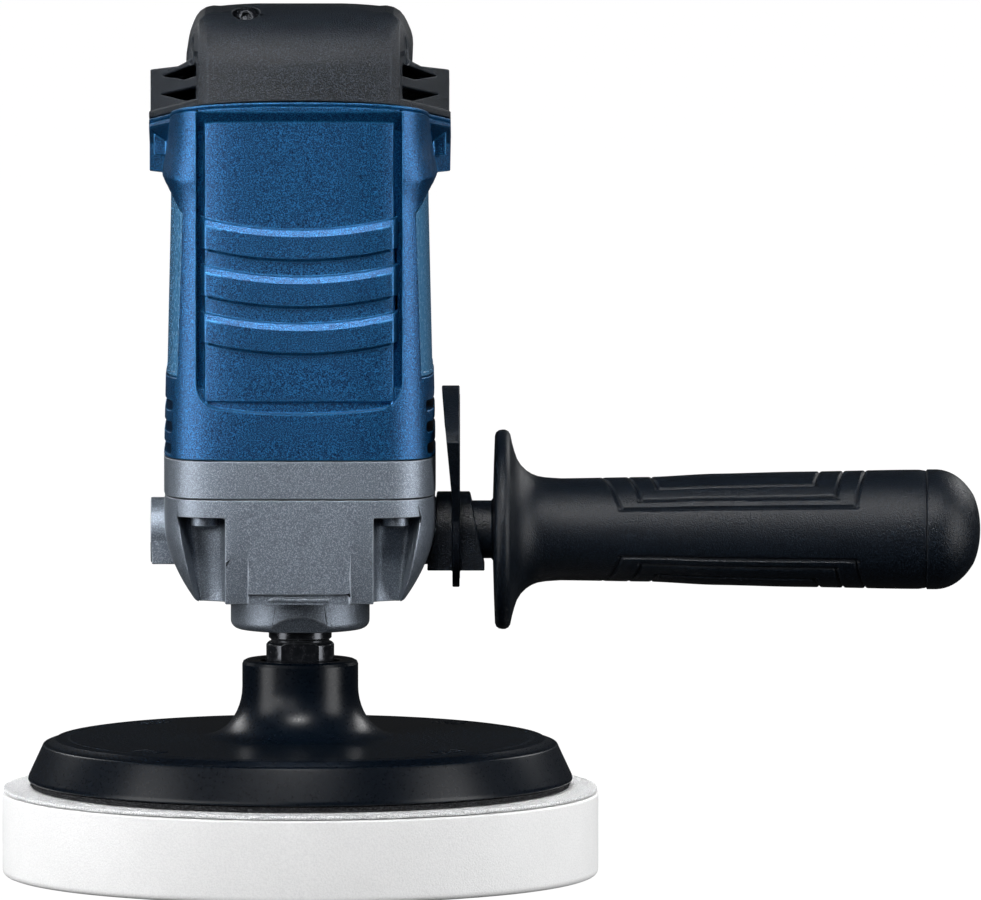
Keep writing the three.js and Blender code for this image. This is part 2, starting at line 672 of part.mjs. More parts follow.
function handleScrewParts(side) {
  const pillars = handleScrews.map(({ y, z }) => {
    return side > 0 ? rod('x', GAP / 2, 22, 4.8, [y, z], 12) : rod('x', -22, -GAP / 2, 4.8, [y, z], 12);
  });
  const holes = handleScrews.map(({ y, z }) => rod('x', -14.3, 30, 2.3, [y, z], 8));
  const headRooms = handleScrews.map(({ y, z }) => rod('x', 13.4, 40, 4, [y, z], 12));
  return { pillars, holes: [...holes, ...headRooms] };
}

function addHandleShells() {
  const outside = gripBlock(0, grip.start, grip.end, 6);
  const inside = gripBlock(grip.wall, grip.start - 1, grip.end - 3.5, 6);
  const triggerSlot = box([-8.1, 8.1], [81, 126], [180, 212]);
  const wheelSlot = box([-4.2, 4.2], [wheel.y - 12, wheel.y + 12], [230, 260]);
  const inlet = rod('y', 170, 195, 7.3, [0, inletZ]);
  const buttonHole = rod('x', -40, -10, 5.3, [buttonAt.y, buttonAt.z]);
  [[-1, 'handle_shell_left'], [1, 'handle_shell_right']].forEach(([side, name]) => {
    const { pillars, holes } = handleScrewParts(side);
    const shell = join(cut(outside, inside), common(outside, join(...pillars)));
    const openings = side < 0 ? [buttonHole] : [];
    add(name, 'blue', cut(common(shell, halfOf(side)), triggerSlot, wheelSlot, inlet, ...holes,
        ...openings));
  });
  handleScrews.forEach(({ y, z }, i) => {
    const head = rod('x', 13.7, 16.7, 3.6, [y, z], 12);
    const shank = rod('x', -14, 14, 2, [y, z], 8);
    const socket = rod('x', 15, 18, 1.6, [y, z], 6);
    add(i ? 'handle_screw_rear' : 'handle_screw_front', 'darkSteel', cut(join(head, shank), socket));
  });
}

function addSoftGrip() {
  const sleeve = cut(gripBlock(-1.8, 100, 178, 4), gripBlock(-GAP, 96, 182, 4));
  add('handle_soft_grip', 'rubber', common(sleeve, box([-40, 40], [90, 190], [224, 300])));
}

function addTrigger() {
  const side = new THREE.Shape();
  side.moveTo(84, 205);
  side.quadraticCurveTo(90, 197.5, 100, 197);
  side.quadraticCurveTo(112, 195.5, 122, 199);
  side.lineTo(123.5, 203);
  side.lineTo(122.5, 210.5);
  side.lineTo(86, 211);
  side.lineTo(84, 209.5);
  const paddle = prismX(side, -7.7, 7.7);
  const axle = rod('x', -10.5, 10.5, 1.8, [triggerPivot.y, triggerPivot.z], 10);
  add('trigger', 'black', join(paddle, axle));
}

function addHandleControls() {
  const cap = turnedAlongX([[0, -23.5], [4, -23.5], [5, -22.7], [5, -12], [0, -12]], buttonAt.y,
      buttonAt.z, 16);
  add('lock_on_button', 'black', cap);
  let rim = turnedAlongX([[0, -3.5], [10.4, -3.5], [wheel.radius, -2.9], [wheel.radius, 2.9], [10.4, 3.5],
      [0, 3.5]],
    wheel.y, wheel.z, 24);
  rim = join(rim, rod('x', -7, 7, 2, [wheel.y, wheel.z], 8));
  for (let i = 0; i < 12; i += 1) {
    const turn = (2 * Math.PI * i) / 12;
    const notch = [wheel.y + (wheel.radius + 0.5) * Math.cos(turn),
        wheel.z + (wheel.radius + 0.5) * Math.sin(turn)];
    rim = cut(rim, rod('x', -5, 5, 1, notch, 4));
  }
  add('speed_thumbwheel', 'black', rim);
}

function addElectrics() {
  add('switch_module', 'black', box([-9, 9], [98, 132], [217.5, 234.5]));
  add('speed_control_board', 'board', box([-13, 13], [135, 158], [225, 226.6]));
  add('suppression_capacitor', 'amber', box([-7.5, 7.5], [134, 157], [207.5, 220]));
  const sleeve = [[4, 181.2], [9.5, 181.2], [9.5, 184.2], [7, 184.2], [7, 188.3], [9, 188.3], [6, 210],
      [4, 210]];
  add('cable_gland', 'rubber', turnedAlongY(sleeve, 0, inletZ, 16));
  const saddle = cut(box([-8, 8], [171.5, 177], [204.5, 215]), rod('y', 165, 180, 4.3, [0, inletZ]));
  add('cable_clamp', 'nylon', saddle);
}

// ---- Motor ----
function sector(radius, halfAngle, low, high, middle) {
  const shape = new THREE.Shape();
  shape.moveTo(0, 0);
  shape.lineTo(radius * Math.cos(middle - halfAngle), radius * Math.sin(middle - halfAngle));
  shape.absarc(0, 0, radius, middle - halfAngle, middle + halfAngle, false);
  return prism(shape, low, high);
}

function addField() {
  const yoke = tube(27, motor.statorRadius, motor.low, motor.high, 32);
  const poles = [0, Math.PI].map((middle) => {
    const wedge = sector(28, degrees(50), motor.low, motor.high, middle);
    return cut(wedge, rod('z', 100, 250, motor.boreRadius, [0, 0], 32));
  });
  add('stator_core', 'lamination', join(yoke, ...poles));
  [[Math.PI, 'field_coil_left'], [0, 'field_coil_right']].forEach(([middle, name]) => {
    const outside = sector(26.6, degrees(66), motor.low - 6, motor.high + 6, middle);
    const window = sector(40, degrees(51.5), motor.low - GAP, motor.high + GAP, middle);
    const bore = rod('z', 100, 250, motor.boreRadius + 0.4, [0, 0], 24);
    add(name, 'copper', cut(outside, window, bore));
  });
  add('air_baffle', 'nylon', tube(26, 35.4, 143, 145, 32));
}

const slots = 10;

function addArmature() {
  const shaft = [[0, 106.3], [3.6, 106.3], [3.6, 115], [motor.shaft, 116.5], [motor.shaft, 217.7],
      [4, 217.7]];
  shaft.push([4, upperBearing.high], [0, upperBearing.high]);
  const pinion = prism(gearOutline(teeth.armature, SHIFT, 3), firstStage.low + 0.1, 116);
  add('armature_shaft', 'darkSteel', join(pinion, turned(shaft, 12)), towardRear);

  const bars = [];
  const slotTools = [];
  for (let i = 0; i < slots; i += 1) {
    const turn = (2 * Math.PI * i) / slots;
    slotTools.push(box([14, 24], [-1.6, 1.6], [140, 200]).rotateZ(turn));
    bars.push(box([14.4, 20.8], [-1.2, 1.2], [150, 192]).rotateZ(turn));
  }
  const core = tube(motor.shaft + GAP, motor.coreRadius, motor.low + 0.5, motor.high - 0.5, 36);
  add('armature_core', 'lamination', cut(core, ...slotTools));
  const lowEnd = tube(8.5, 20.8, 146.5, motor.low, 20);
  const highEnd = tube(8.5, 20.8, motor.high, 196.5, 20);
  add('armature_winding', 'copper', join(lowEnd, highEnd, ...bars));

  const segments = [[6.3, 198.5], [14.2, 198.5], [14.2, 200.5], [13, 200.5], [13, 213], [6.3, 213]];
  add('commutator', 'copper', turned(segments, 16));
  add('armature_bearing_lower', 'bearing', tube(motor.shaft + GAP, 12, 122.3, 128.3, 20));
  add('armature_bearing_upper', 'bearing',
      tube(4 + GAP, 11, upperBearing.low, upperBearing.high - GAP, 20));
}

function addFan() {
  const blades = 9;
  let fan = join(tube(motor.shaft + GAP, 12, 131, 141, 12), tube(10, 33, 139.4, 141, 24));
  for (let i = 0; i < blades; i += 1) {
    const blade = box([11, 32.6], [-0.8, 0.8], [131.5, 140]).rotateZ((2 * Math.PI * i) / blades + 0.1);
    fan = join(fan, blade);
  }
  add('cooling_fan', 'black', fan);
}

class Coil extends THREE.Curve {
  constructor(radius, low, high, turns) {
    super();
    Object.assign(this, { radius, low, high, turns });
  }

  getPoint(t, target = new THREE.Vector3()) {
    const turn = 2 * Math.PI * this.turns * t;
    return target.set(mixed(this.low, this.high, t), this.radius * Math.cos(turn),
        this.radius * Math.sin(turn));
  }
}

function addBrushes() {
  const middle = (brushZ.low + brushZ.high) / 2;
  [[-1, 'left'], [1, 'right']].forEach(([side, name]) => {
    const turn = side > 0 ? 0 : Math.PI;
    const brush = box([13.3, 26.6], [-3, 3], [brushZ.low, brushZ.high]).rotateZ(turn);
    add(`carbon_brush_${name}`, 'carbon', brush);
    const block = box([15.5, 34.3], [-5, 5], [brushZ.low - 2.2, brushZ.high + 2.2]);
    const channel = box([10, 32.6], [-3.3, 3.3], [brushZ.low - GAP, brushZ.high + GAP]);
    add(`brush_holder_${name}`, 'brass', asSolid(cut(block, channel)).rotate([0, 0, side > 0 ? 0 : 180]));
    const wire = outlineShape([[-0.4, -0.4], [0.4, -0.4], [0.4, 0.4], [-0.4, 0.4]]);
    const path = new Coil(2.3, 27.4, 31.8, 2.5);
    const spring = new THREE.ExtrudeGeometry(wire, { steps: 15, extrudePath: path, bevelEnabled: false });
    add(`brush_spring_${name}`, 'steel', spring.translate(0, 0, middle).rotateZ(turn));
  });
}

// ---- Side handle and hand guard ----
function gripOutline() {
  const outline = [[5.3, 52.6], [8.75, 52.6], [8.75, 57], [12, 58], [29, 59.8], [30.6, 60.9], [30.2, 62.2]];
  outline.push([28.2, 63.3], [23.2, 65.1], [19.3, 66.9], [17, 69.6], [15.8, 72.4], [15.4, 78.5]);
  outline.push([15.8, 105], [16.8, 125], [17.4, 150], [18, 184], [18, 188.3], [9.9, 188.3], [9.9, 182],
      [5.3, 182]);
  return outline;
}

function endCapOutline() {
  return [
    [0, 182.5], [9.6, 182.5], [9.6, 188.7], [18.1, 188.7], [18.1, 192], [16.9, 196], [13.6, 200.5],
        [9, 203.6], [4, 204.9],
    [0, 205.1],
  ];
}

function addSideHandle() {
  add('aux_handle_grip', 'black', turnedAlongX(gripOutline(), 0, boss.z, 20));
  add('aux_handle_end_cap', 'black', turnedAlongX(endCapOutline(), 0, boss.z, 20));
  add('aux_handle_stud', 'steel', rod('x', 33.6, 100, 5, [0, boss.z]));
}

// The guard's plate is an arch above the side handle and a short round skirt below it.
function addHandGuard() {
  const shape = new THREE.Shape();
  const [reach, skirt, spread] = [43.4, 17.4, degrees(48)];
  shape.absarc(0, 0, reach, Math.PI / 2 - spread, Math.PI / 2 + spread, false);
  shape.lineTo(-skirt, 4);
  shape.absarc(0, 0, skirt, Math.PI, 2 * Math.PI, false);
  shape.lineTo(skirt, 4);
  const sheet = formed(prismX(shape, 45.9, 48), (p) => {
    p.z += boss.z;
  });
  const rimBand = cut(rod('x', 44.6, 48.2, reach, [0, boss.z], 36),
      rod('x', 40, 60, reach - 3, [0, boss.z], 36));
  const rimEnds = new THREE.Shape();
  rimEnds.moveTo(0, boss.z);
  rimEnds.lineTo(60 * Math.sin(spread), boss.z + 60 * Math.cos(spread));
  rimEnds.lineTo(-60 * Math.sin(spread), boss.z + 60 * Math.cos(spread));
  const rim = common(rimBand, prismX(rimEnds, 40, 60));
  const hub = formed(rod('x', 41.4, 52, 11.8, [0, boss.z], 20), (p) => {
    const down = (boss.z - p.z) / 11.8;
    p.x += p.x < 45 ? -1.4 * down : 0.9 * down;
  });
  const bossRoom = rod('x', 30, boss.end + GAP, boss.radius + GAP + 0.15, [0, boss.z], 20);
  const caseRoom = formed(prism(softSquare(), 80, 130),
      scaledXY(() => gearCase.half + GAP, () => gearCase.half + GAP));
  const neckRoom = rod('x', 51.2, 60, 12.5, [0, boss.z], 20);
  const bore = rod('x', 30, 60, boss.bore, [0, boss.z]);
  add('hand_guard', 'black', cut(join(sheet, rim, hub), bossRoom, caseRoom, bore, neckRoom));
}

addPad();
addBackingPlate();
addSpindle();
addGears();
addGearHousing();
addIntermediateFlange();
addGearScrews();
addMotorHousing();
addSideLabels();
addTopCover();
addHandleShells();
addSoftGrip();
addTrigger();
addHandleControls();
addElectrics();
addField();
addArmature();
addFan();
addBrushes();
addSideHandle();
addHandGuard();

export default polisher;
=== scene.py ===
import json
import math
import random

import bmesh
import bpy
from mathutils import Matrix, Vector
from mathutils.bvhtree import BVHTree


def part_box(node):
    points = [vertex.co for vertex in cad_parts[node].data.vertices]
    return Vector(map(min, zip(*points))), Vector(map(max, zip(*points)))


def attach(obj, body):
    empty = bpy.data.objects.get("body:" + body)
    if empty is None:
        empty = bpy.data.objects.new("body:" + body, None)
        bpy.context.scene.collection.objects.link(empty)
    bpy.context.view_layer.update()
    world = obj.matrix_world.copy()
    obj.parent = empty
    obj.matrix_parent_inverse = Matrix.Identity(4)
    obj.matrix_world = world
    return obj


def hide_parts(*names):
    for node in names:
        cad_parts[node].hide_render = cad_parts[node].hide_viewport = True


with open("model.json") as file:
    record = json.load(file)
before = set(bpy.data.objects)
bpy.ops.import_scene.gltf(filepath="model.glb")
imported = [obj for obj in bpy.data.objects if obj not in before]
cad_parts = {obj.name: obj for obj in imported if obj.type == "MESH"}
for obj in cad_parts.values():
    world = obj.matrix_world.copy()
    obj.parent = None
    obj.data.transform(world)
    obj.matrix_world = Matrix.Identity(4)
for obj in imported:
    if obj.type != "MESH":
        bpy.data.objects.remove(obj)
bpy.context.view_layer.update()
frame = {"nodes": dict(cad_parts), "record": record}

scene = bpy.context.scene

# Shapes are drawn in millimetres, in the frame's own axes, and are scaled to metres when a piece is finished.
MM = 0.001
GAP = 0.15  # half of the play between two shells that meet
FAR = 80.0  # reaches past the whole casing
ACROSS = (-FAR, FAR)
UPPER = (200.0, 300.0)  # heights around the whole cover


def frame_box(node):
    """The lowest and highest corners of a CAD node, in millimetres."""
    low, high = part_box(node)
    return low / MM, high / MM


# ---- Driving sizes, read from the frame where it has them ----
foam_low, foam_high = frame_box("foam_pad")
fleece_low, fleece_high = frame_box("foam_loop_backing")
hook_low, hook_high = frame_box("hook_layer")
plate_low, plate_high = frame_box("backing_plate")
case_low, case_high = frame_box("gear_housing")
flange_low, flange_high = frame_box("intermediate_flange")
housing_low, housing_high = frame_box("motor_housing")
cap_low, cap_high = frame_box("aux_handle_end_cap")
COVER_TOP = frame_box("top_cover")[1].z

SIDE_AXIS_Z = (cap_low.z + cap_high.z) / 2  # height of the side handle's axis
SIDE_AXIS = (0.0, SIDE_AXIS_Z)
STUD_BORE = 5.3
BOSS = {"end": 45.0, "radius": 9.75, "play": 0.45}
SCREW = {"hole": 2.3, "shank": 2.0}
CASE = {"bottom": 85.2, "bend": 108.0, "top": 116.7, "bottom_half": 31.8}
CASE_HALF = case_high.y
BODY = {"bottom": housing_low.z, "waist": 203.0, "low_half": 40.9, "high_half": 39.2, "wall": 4.4,
        "rear": 44.0}
SEAM = {"front_z": 236.8, "front_y": -40.0, "slope": 0.17, "crown": 0.0009}
SHOULDER = {"half": housing_high.x, "front_y": -5.0, "bottom": 212.6}
PANEL = {"half": 31.0, "bottom": 144.0, "top": 233.4, "round": 7.5, "floor": 3.2, "slope": 1.5}
RAISED = {"half": 27.7, "inset": 2.0, "bottom": 146.2}
RIBS = {"count": 3, "half": 29.6, "top": 198.0, "pitch": 14.1, "height": 9.1, "radius": 125.0, "chamfer": 2.1}
OUTLETS = {"count": 3, "low": 129.9, "pitch": 6.5, "height": 3.1, "half_y": 31.0}
LABEL = {"front": -33.0, "rear": 28.0, "bottom": 153.0, "spring": 203.0, "rise": 11.0, "recess": 1.0}
DOME_CORNER = 2.6  # width of the slanted corner beside the dome's face
DOME = {"half": 34.0, "face": 27.6, "front": -39.4, "corner": -33.0, "bow": 97.0, "top": COVER_TOP,
        "crown": 144.0, "wall": 2.6}
LOUVRES = (((41.8, 242.6), (30.9, 241.9), (30.9, 237.9), (34.0, 238.4)),
           ((41.1, 247.9), (30.9, 248.8), (30.9, 245.0), (34.6, 245.0)))
COVER_SCREW = {"at": (-16.0, -23.5, 262.4), "tilt": 30.0, "pocket": 4.15, "depth": 6.2}
# The shells start a little inside the housing, so that no light comes through between them.
GRIP = {"start": BODY["rear"] - 0.1, "end": 188.0, "wall": 2.8}
WHEEL = {"y": 84.0, "z": 236.2, "radius": 11.0}
BUTTON_AT = (90.0, 218.0)
CORD_AXIS = (0.0, 217.0)
HANDLE_SCREWS = ((70.0, 214.0), (164.0, 209.0))


# ---- Solids ----
FULL_TURN = 2 * math.pi


def solid(points, faces):
    """A closed mesh object in millimetres with its faces pointing out."""
    mesh = bpy.data.meshes.new("solid")
    mesh.from_pydata([tuple(p) for p in points], [], faces)
    work = bmesh.new()
    work.from_mesh(mesh)
    bmesh.ops.remove_doubles(work, verts=work.verts, dist=1e-4)
    bmesh.ops.recalc_face_normals(work, faces=work.faces)
    work.to_mesh(mesh)
    work.free()
    obj = bpy.data.objects.new("solid", mesh)
    scene.collection.objects.link(obj)
    return obj


def skinned(rings, closed=False):
    """Rings of points with the same count, joined in order and either capped or closed into a loop."""
    count = len(rings[0])
    faces = []
    for r in range(len(rings) if closed else len(rings) - 1):
        below, above = r * count, (r + 1) % len(rings) * count
        for i in range(count):
            j = (i + 1) % count
            faces.append((below + i, below + j, above + j, above + i))
    if not closed:
        last = (len(rings) - 1) * count
        faces += [tuple(reversed(range(count))), tuple(last + i for i in range(count))]
    return solid([p for ring in rings for p in ring], faces)


def placed(axis, a, b, along):
    """A point of a flat outline at a distance along an axis: (a, b) is (y, z), (x, z) or (x, y)."""
    return {"x": (along, a, b), "y": (a, along, b), "z": (a, b, along)}[axis]


def evenly(start, end, steps):
    """Values from start to end, with both of them."""
    return [start + (end - start) * i / steps for i in range(steps + 1)]


def span(side, near, far):
    """A range on the right (side 1) or the same range on the left (side -1)."""
    return (near, far) if side > 0 else (-far, -near)


def both_sides(half):
    """A whole outline from its right half; points on the middle line aren't repeated."""
    return half + [(-x, other) for x, other in reversed(half) if x != 0.0]


def prism(outline, axis, levels, move=None):
    rings = [[placed(axis, a, b, level) for a, b in outline] for level in levels]
    if move:
        rings = [[move(*p) for p in ring] for ring in rings]
    return skinned(rings)


def block(x, y, z, move=None):
    return prism([(x[0], y[0]), (x[1], y[0]), (x[1], y[1]), (x[0], y[1])], "z", z, move)


def polar(radius, turn, at=(0.0, 0.0)):
    return (at[0] + radius * math.cos(turn), at[1] + radius * math.sin(turn))


def arc(radius, start, end, steps, at=(0.0, 0.0)):
    return [polar(radius, turn, at) for turn in evenly(start, end, steps)]


def circle(radius, at=(0.0, 0.0), sides=64):
    return arc(radius, 0.0, FULL_TURN, sides, at)[:-1]


def rod(axis, low, high, radius, at=(0.0, 0.0), sides=64):
    return prism(circle(radius, at, sides), axis, (low, high))


def turned(outline, axis="z", at=(0.0, 0.0), sides=96):
    """A (radius, height) outline turned about an axis: from axis to axis, or closed on itself."""
    return skinned([[placed(axis, *point, height) for point in circle(radius, at, sides)]
                    for radius, height in outline], closed=True)


def thread(radius, depth, start, pitch, count):
    """Ring grooves that stand for a thread, as a stretch of a turned outline."""
    outline = []
    for i in range(count):
        level = start + i * pitch
        outline += [(radius, level), (radius - depth, level + 0.35), (radius, level + 0.7)]
    return outline


def curve(start, control, end, steps=14):
    """A quadratic curve without its first point."""
    points = []
    for i in range(1, steps + 1):
        t = i / steps
        points.append(tuple((1 - t) ** 2 * a + 2 * t * (1 - t) * b + t * t * c
                            for a, b, c in zip(start, control, end)))
    return points


def rounded(points, radii, steps=6):
    """A closed outline whose corners are replaced by curves that start a radius away from each corner."""
    result = []
    for i, (point, radius) in enumerate(zip(points, radii)):
        here = Vector(point)
        before, after = Vector(points[i - 1]), Vector(points[(i + 1) % len(points)])
        if radius <= 0:
            result.append(tuple(here))
            continue
        start = here + (before - here).normalized() * min(radius, (before - here).length / 2.01)
        end = here + (after - here).normalized() * min(radius, (after - here).length / 2.01)
        for k in range(steps + 1):
            t = k / steps
            result.append(tuple(start * (1 - t) ** 2 + here * 2 * t * (1 - t) + end * t * t))
    return result


def applied(obj):
    graph = bpy.context.evaluated_depsgraph_get()
    mesh = bpy.data.meshes.new_from_object(obj.evaluated_get(graph))
    obj.modifiers.clear()
    obj.data = mesh
    return obj


def combined(operation, base, tools):
    for tool in tools:
        step = base.modifiers.new("step", "BOOLEAN")
        step.operation, step.solver, step.object = operation, "MANIFOLD", tool
    applied(base)
    for tool in tools:
        bpy.data.objects.remove(tool)
    return base


def cut(base, *tools):
    return combined("DIFFERENCE", base, tools)


def join(base, *tools):
    return combined("UNION", base, tools)


def common(base, *tools):
    return combined("INTERSECT", base, tools)


def mirrored(obj, side_x=1, side_y=1):
    obj.data.transform(Matrix.Diagonal((side_x, side_y, 1, 1)))
    if side_x * side_y < 0:
        obj.data.flip_normals()
    return obj


def ease(t):
    t = min(max(t, 0.0), 1.0)
    return t * t * (3 - 2 * t)


def mixed(a, b, t):
    return a + (b - a) * t


def soft_square(power=5.0, count=176):
    """The curve |x|^power + |y|^power = 1, with its points spread evenly along it."""
    fine = []
    for i in range(4000):
        t = 2 * math.pi * i / 4000
        c, s = math.cos(t), math.sin(t)
        fine.append((math.copysign(abs(c) ** (2 / power), c), math.copysign(abs(s) ** (2 / power), s)))
    lengths = [0.0]
    for a, b in zip(fine, fine[1:] + fine[:1]):
        lengths.append(lengths[-1] + math.dist(a, b))
    points, k = [], 0
    for i in range(count):
        wanted = lengths[-1] * i / count
        while lengths[k + 1] < wanted:
            k += 1
        t = (wanted - lengths[k]) / (lengths[k + 1] - lengths[k])
        a, b = fine[k], fine[(k + 1) % len(fine)]
        points.append((mixed(a[0], b[0], t), mixed(a[1], b[1], t)))
    return points


SOFT_SQUARE = soft_square()


# ---- Finishing a piece ----
EDGE_WEAR_AND_HIGHLIGHT = 1  # the index of the faces that a bevel adds, until they are marked as worn edges that also carry a painted highlight
SPIKE = 0.6  # farther out than this share of a bevel's width, a point is laid back on the surface


def bevelled(obj, width=0.4, segments=3, angle=28.0):
    """Softens every edge that is sharper than an angle, after the flat faces are merged."""
    work = bmesh.new()
    work.from_mesh(obj.data)
    bmesh.ops.dissolve_limit(work, angle_limit=math.radians(0.4), verts=work.verts, edges=work.edges)
    bmesh.ops.remove_doubles(work, verts=work.verts, dist=0.02)
    sharp = BVHTree.FromBMesh(work)
    work.to_mesh(obj.data)
    work.free()
    obj.data.materials.append(None)
    obj.data.materials.append(None)
    step = obj.modifiers.new("edges", "BEVEL")
    step.material = EDGE_WEAR_AND_HIGHLIGHT
    step.width, step.segments, step.limit_method = width, segments, "ANGLE"
    step.angle_limit, step.use_clamp_overlap = math.radians(angle), False
    step.miter_outer = "MITER_ARC"
    applied(obj)
    for vertex in obj.data.vertices:
        near, _, _, distance = sharp.find_nearest(vertex.co)
        if distance > SPIKE * width:
            vertex.co = near
    return obj


def fine_edged(obj, width=0.15):
    """A small bevel for turned shapes, which leaves their facets alone."""
    return bevelled(obj, width, 2, 40.0)


def piece(obj, name, node, slot, body="polisher_body", look=None, smooth=20.0):
    """Scales a shape to metres, gives it its material, hangs it on its body and hides its CAD node."""
    obj.name = obj.data.name = name
    obj.data.transform(Matrix.Scale(MM, 4))
    obj.data.shade_smooth()
    obj.data.set_sharp_from_angle(angle=math.radians(smooth))
    weights = obj.modifiers.new("normals", "WEIGHTED_NORMAL")
    weights.keep_sharp = True
    applied(obj)
    # The bevel's faces are marked for worn edges that also carry a painted edge highlight.
    wear_and_highlight = obj.data.attributes.new("wear_and_highlight", "FLOAT", "FACE")
    wear_and_highlight.data.foreach_set("value", [float(face.material_index == EDGE_WEAR_AND_HIGHLIGHT) for face in obj.data.polygons])
    obj.data.materials.clear()
    obj.data.materials.append(materials[look or slot])
    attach(obj, body)
    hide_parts(node)
    return obj


# ---- Materials ----
def shader_node(material, kind, **inputs):
    """A new shader node. Inputs are constants or outputs; _ in a name stands for a space."""
    made = material.node_tree.nodes.new(f"ShaderNode{kind}")
    for name, value in inputs.items():
        wire(material, made.inputs[name.replace("_", " ")], value)
    return made


def wire(material, socket, value):
    if isinstance(value, bpy.types.NodeSocket):
        material.node_tree.links.new(value, socket)
    else:
        socket.default_value = value


def new_material(name, roughness, metallic=0.0, specular=0.5):
    material = bpy.data.materials.new(name)
    material.use_nodes = True
    shader = material.node_tree.nodes["Principled BSDF"]
    shader.inputs["Roughness"].default_value = roughness
    shader.inputs["Metallic"].default_value = metallic
    shader.inputs["Specular IOR Level"].default_value = specular
    return material, shader


def noise(material, size_mm, detail=2.0, roughness=0.5, stretch=(1, 1, 1)):
    """Noise whose spots are about that many millimetres across, in the piece's own coordinates."""
    place = shader_node(material, "TexCoord").outputs["Object"]
    mapping = shader_node(material, "Mapping", Vector=place, Scale=stretch)
    texture = shader_node(material, "TexNoise", Vector=mapping.outputs["Vector"], Scale=1 / (size_mm * MM),
                          Detail=detail, Roughness=roughness)
    return texture.outputs["Fac"]


def ramp(material, value, stops):
    """A colour or grey for each value: stops are (place, colour or number)."""
    node = shader_node(material, "ValToRGB", Fac=value)
    elements = node.color_ramp.elements
    elements.remove(elements[1])
    for i, (place, colour) in enumerate(stops):
        element = elements.new(place) if i else elements[0]
        element.position = place
        element.color = (*colour, 1) if isinstance(colour, tuple) else (colour, colour, colour, 1)
    return node.outputs["Color"]


def mixed_colour(material, mode, factor, first, second):
    node = material.node_tree.nodes.new("ShaderNodeMix")
    node.data_type, node.blend_type = "RGBA", mode
    for name, value in (("Factor", factor), ("A", first), ("B", second)):
        wire(material, node.inputs[name], value)
    return node.outputs["Result"]


def bumped(material, shader, value, height_mm, strength=1.0):
    node = shader_node(material, "Bump", Distance=height_mm * MM, Strength=strength, Height=value)
    wire(material, shader.inputs["Normal"], node.outputs["Normal"])


def edge_wear_and_highlight(material, amount):
    """How worn a place is, and how much painted highlight its edge carries: nothing on the faces, a patchy
    amount on the rounded edges.
    """
    edge = shader_node(material, "Attribute")
    edge.attribute_name = "wear_and_highlight"
    patches = ramp(material, noise(material, 3.0, 3.0), ((0.35, amount * 0.4), (0.65, amount)))
    patchy = shader_node(material, "Math")
    patchy.operation = "MULTIPLY"
    wire(material, patchy.inputs[0], edge.outputs["Fac"])
    wire(material, patchy.inputs[1], patches)
    return patchy.outputs["Value"]


def grained(name, dark, light, edge, roughness, grain_mm, height_mm, metallic=0.0, specular=0.5):
    """Moulded or cast stuff: a fine spark grain, slow changes of tone and slightly paler edges, which are
    worn and also paint an edge highlight.
    """
    material, shader = new_material(name, sum(roughness) / 2, metallic, specular)
    grain = noise(material, grain_mm, 2.0, 0.6)
    patches = noise(material, 18.0, 3.0)
    middle = tuple(0.75 * a + 0.25 * b for a, b in zip(dark, light))
    fine = ramp(material, grain, ((0.42, dark), (0.52, middle), (0.64, light)))
    slow = ramp(material, patches, ((0.3, 0.94), (0.7, 1.0)))
    tone = mixed_colour(material, "MULTIPLY", 1.0, fine, slow)
    # Worn edges, made paler partly as a painted highlight.
    wear_and_highlight = mixed_colour(material, "MIX", edge_wear_and_highlight(material, 0.4), tone, (*edge, 1))
    wire(material, shader.inputs["Base Color"], wear_and_highlight)
    dullness = ramp(material, grain, ((0.3, roughness[0]), (0.7, roughness[1])))
    wire(material, shader.inputs["Roughness"], dullness)
    bumped(material, shader, grain, height_mm)
    return material
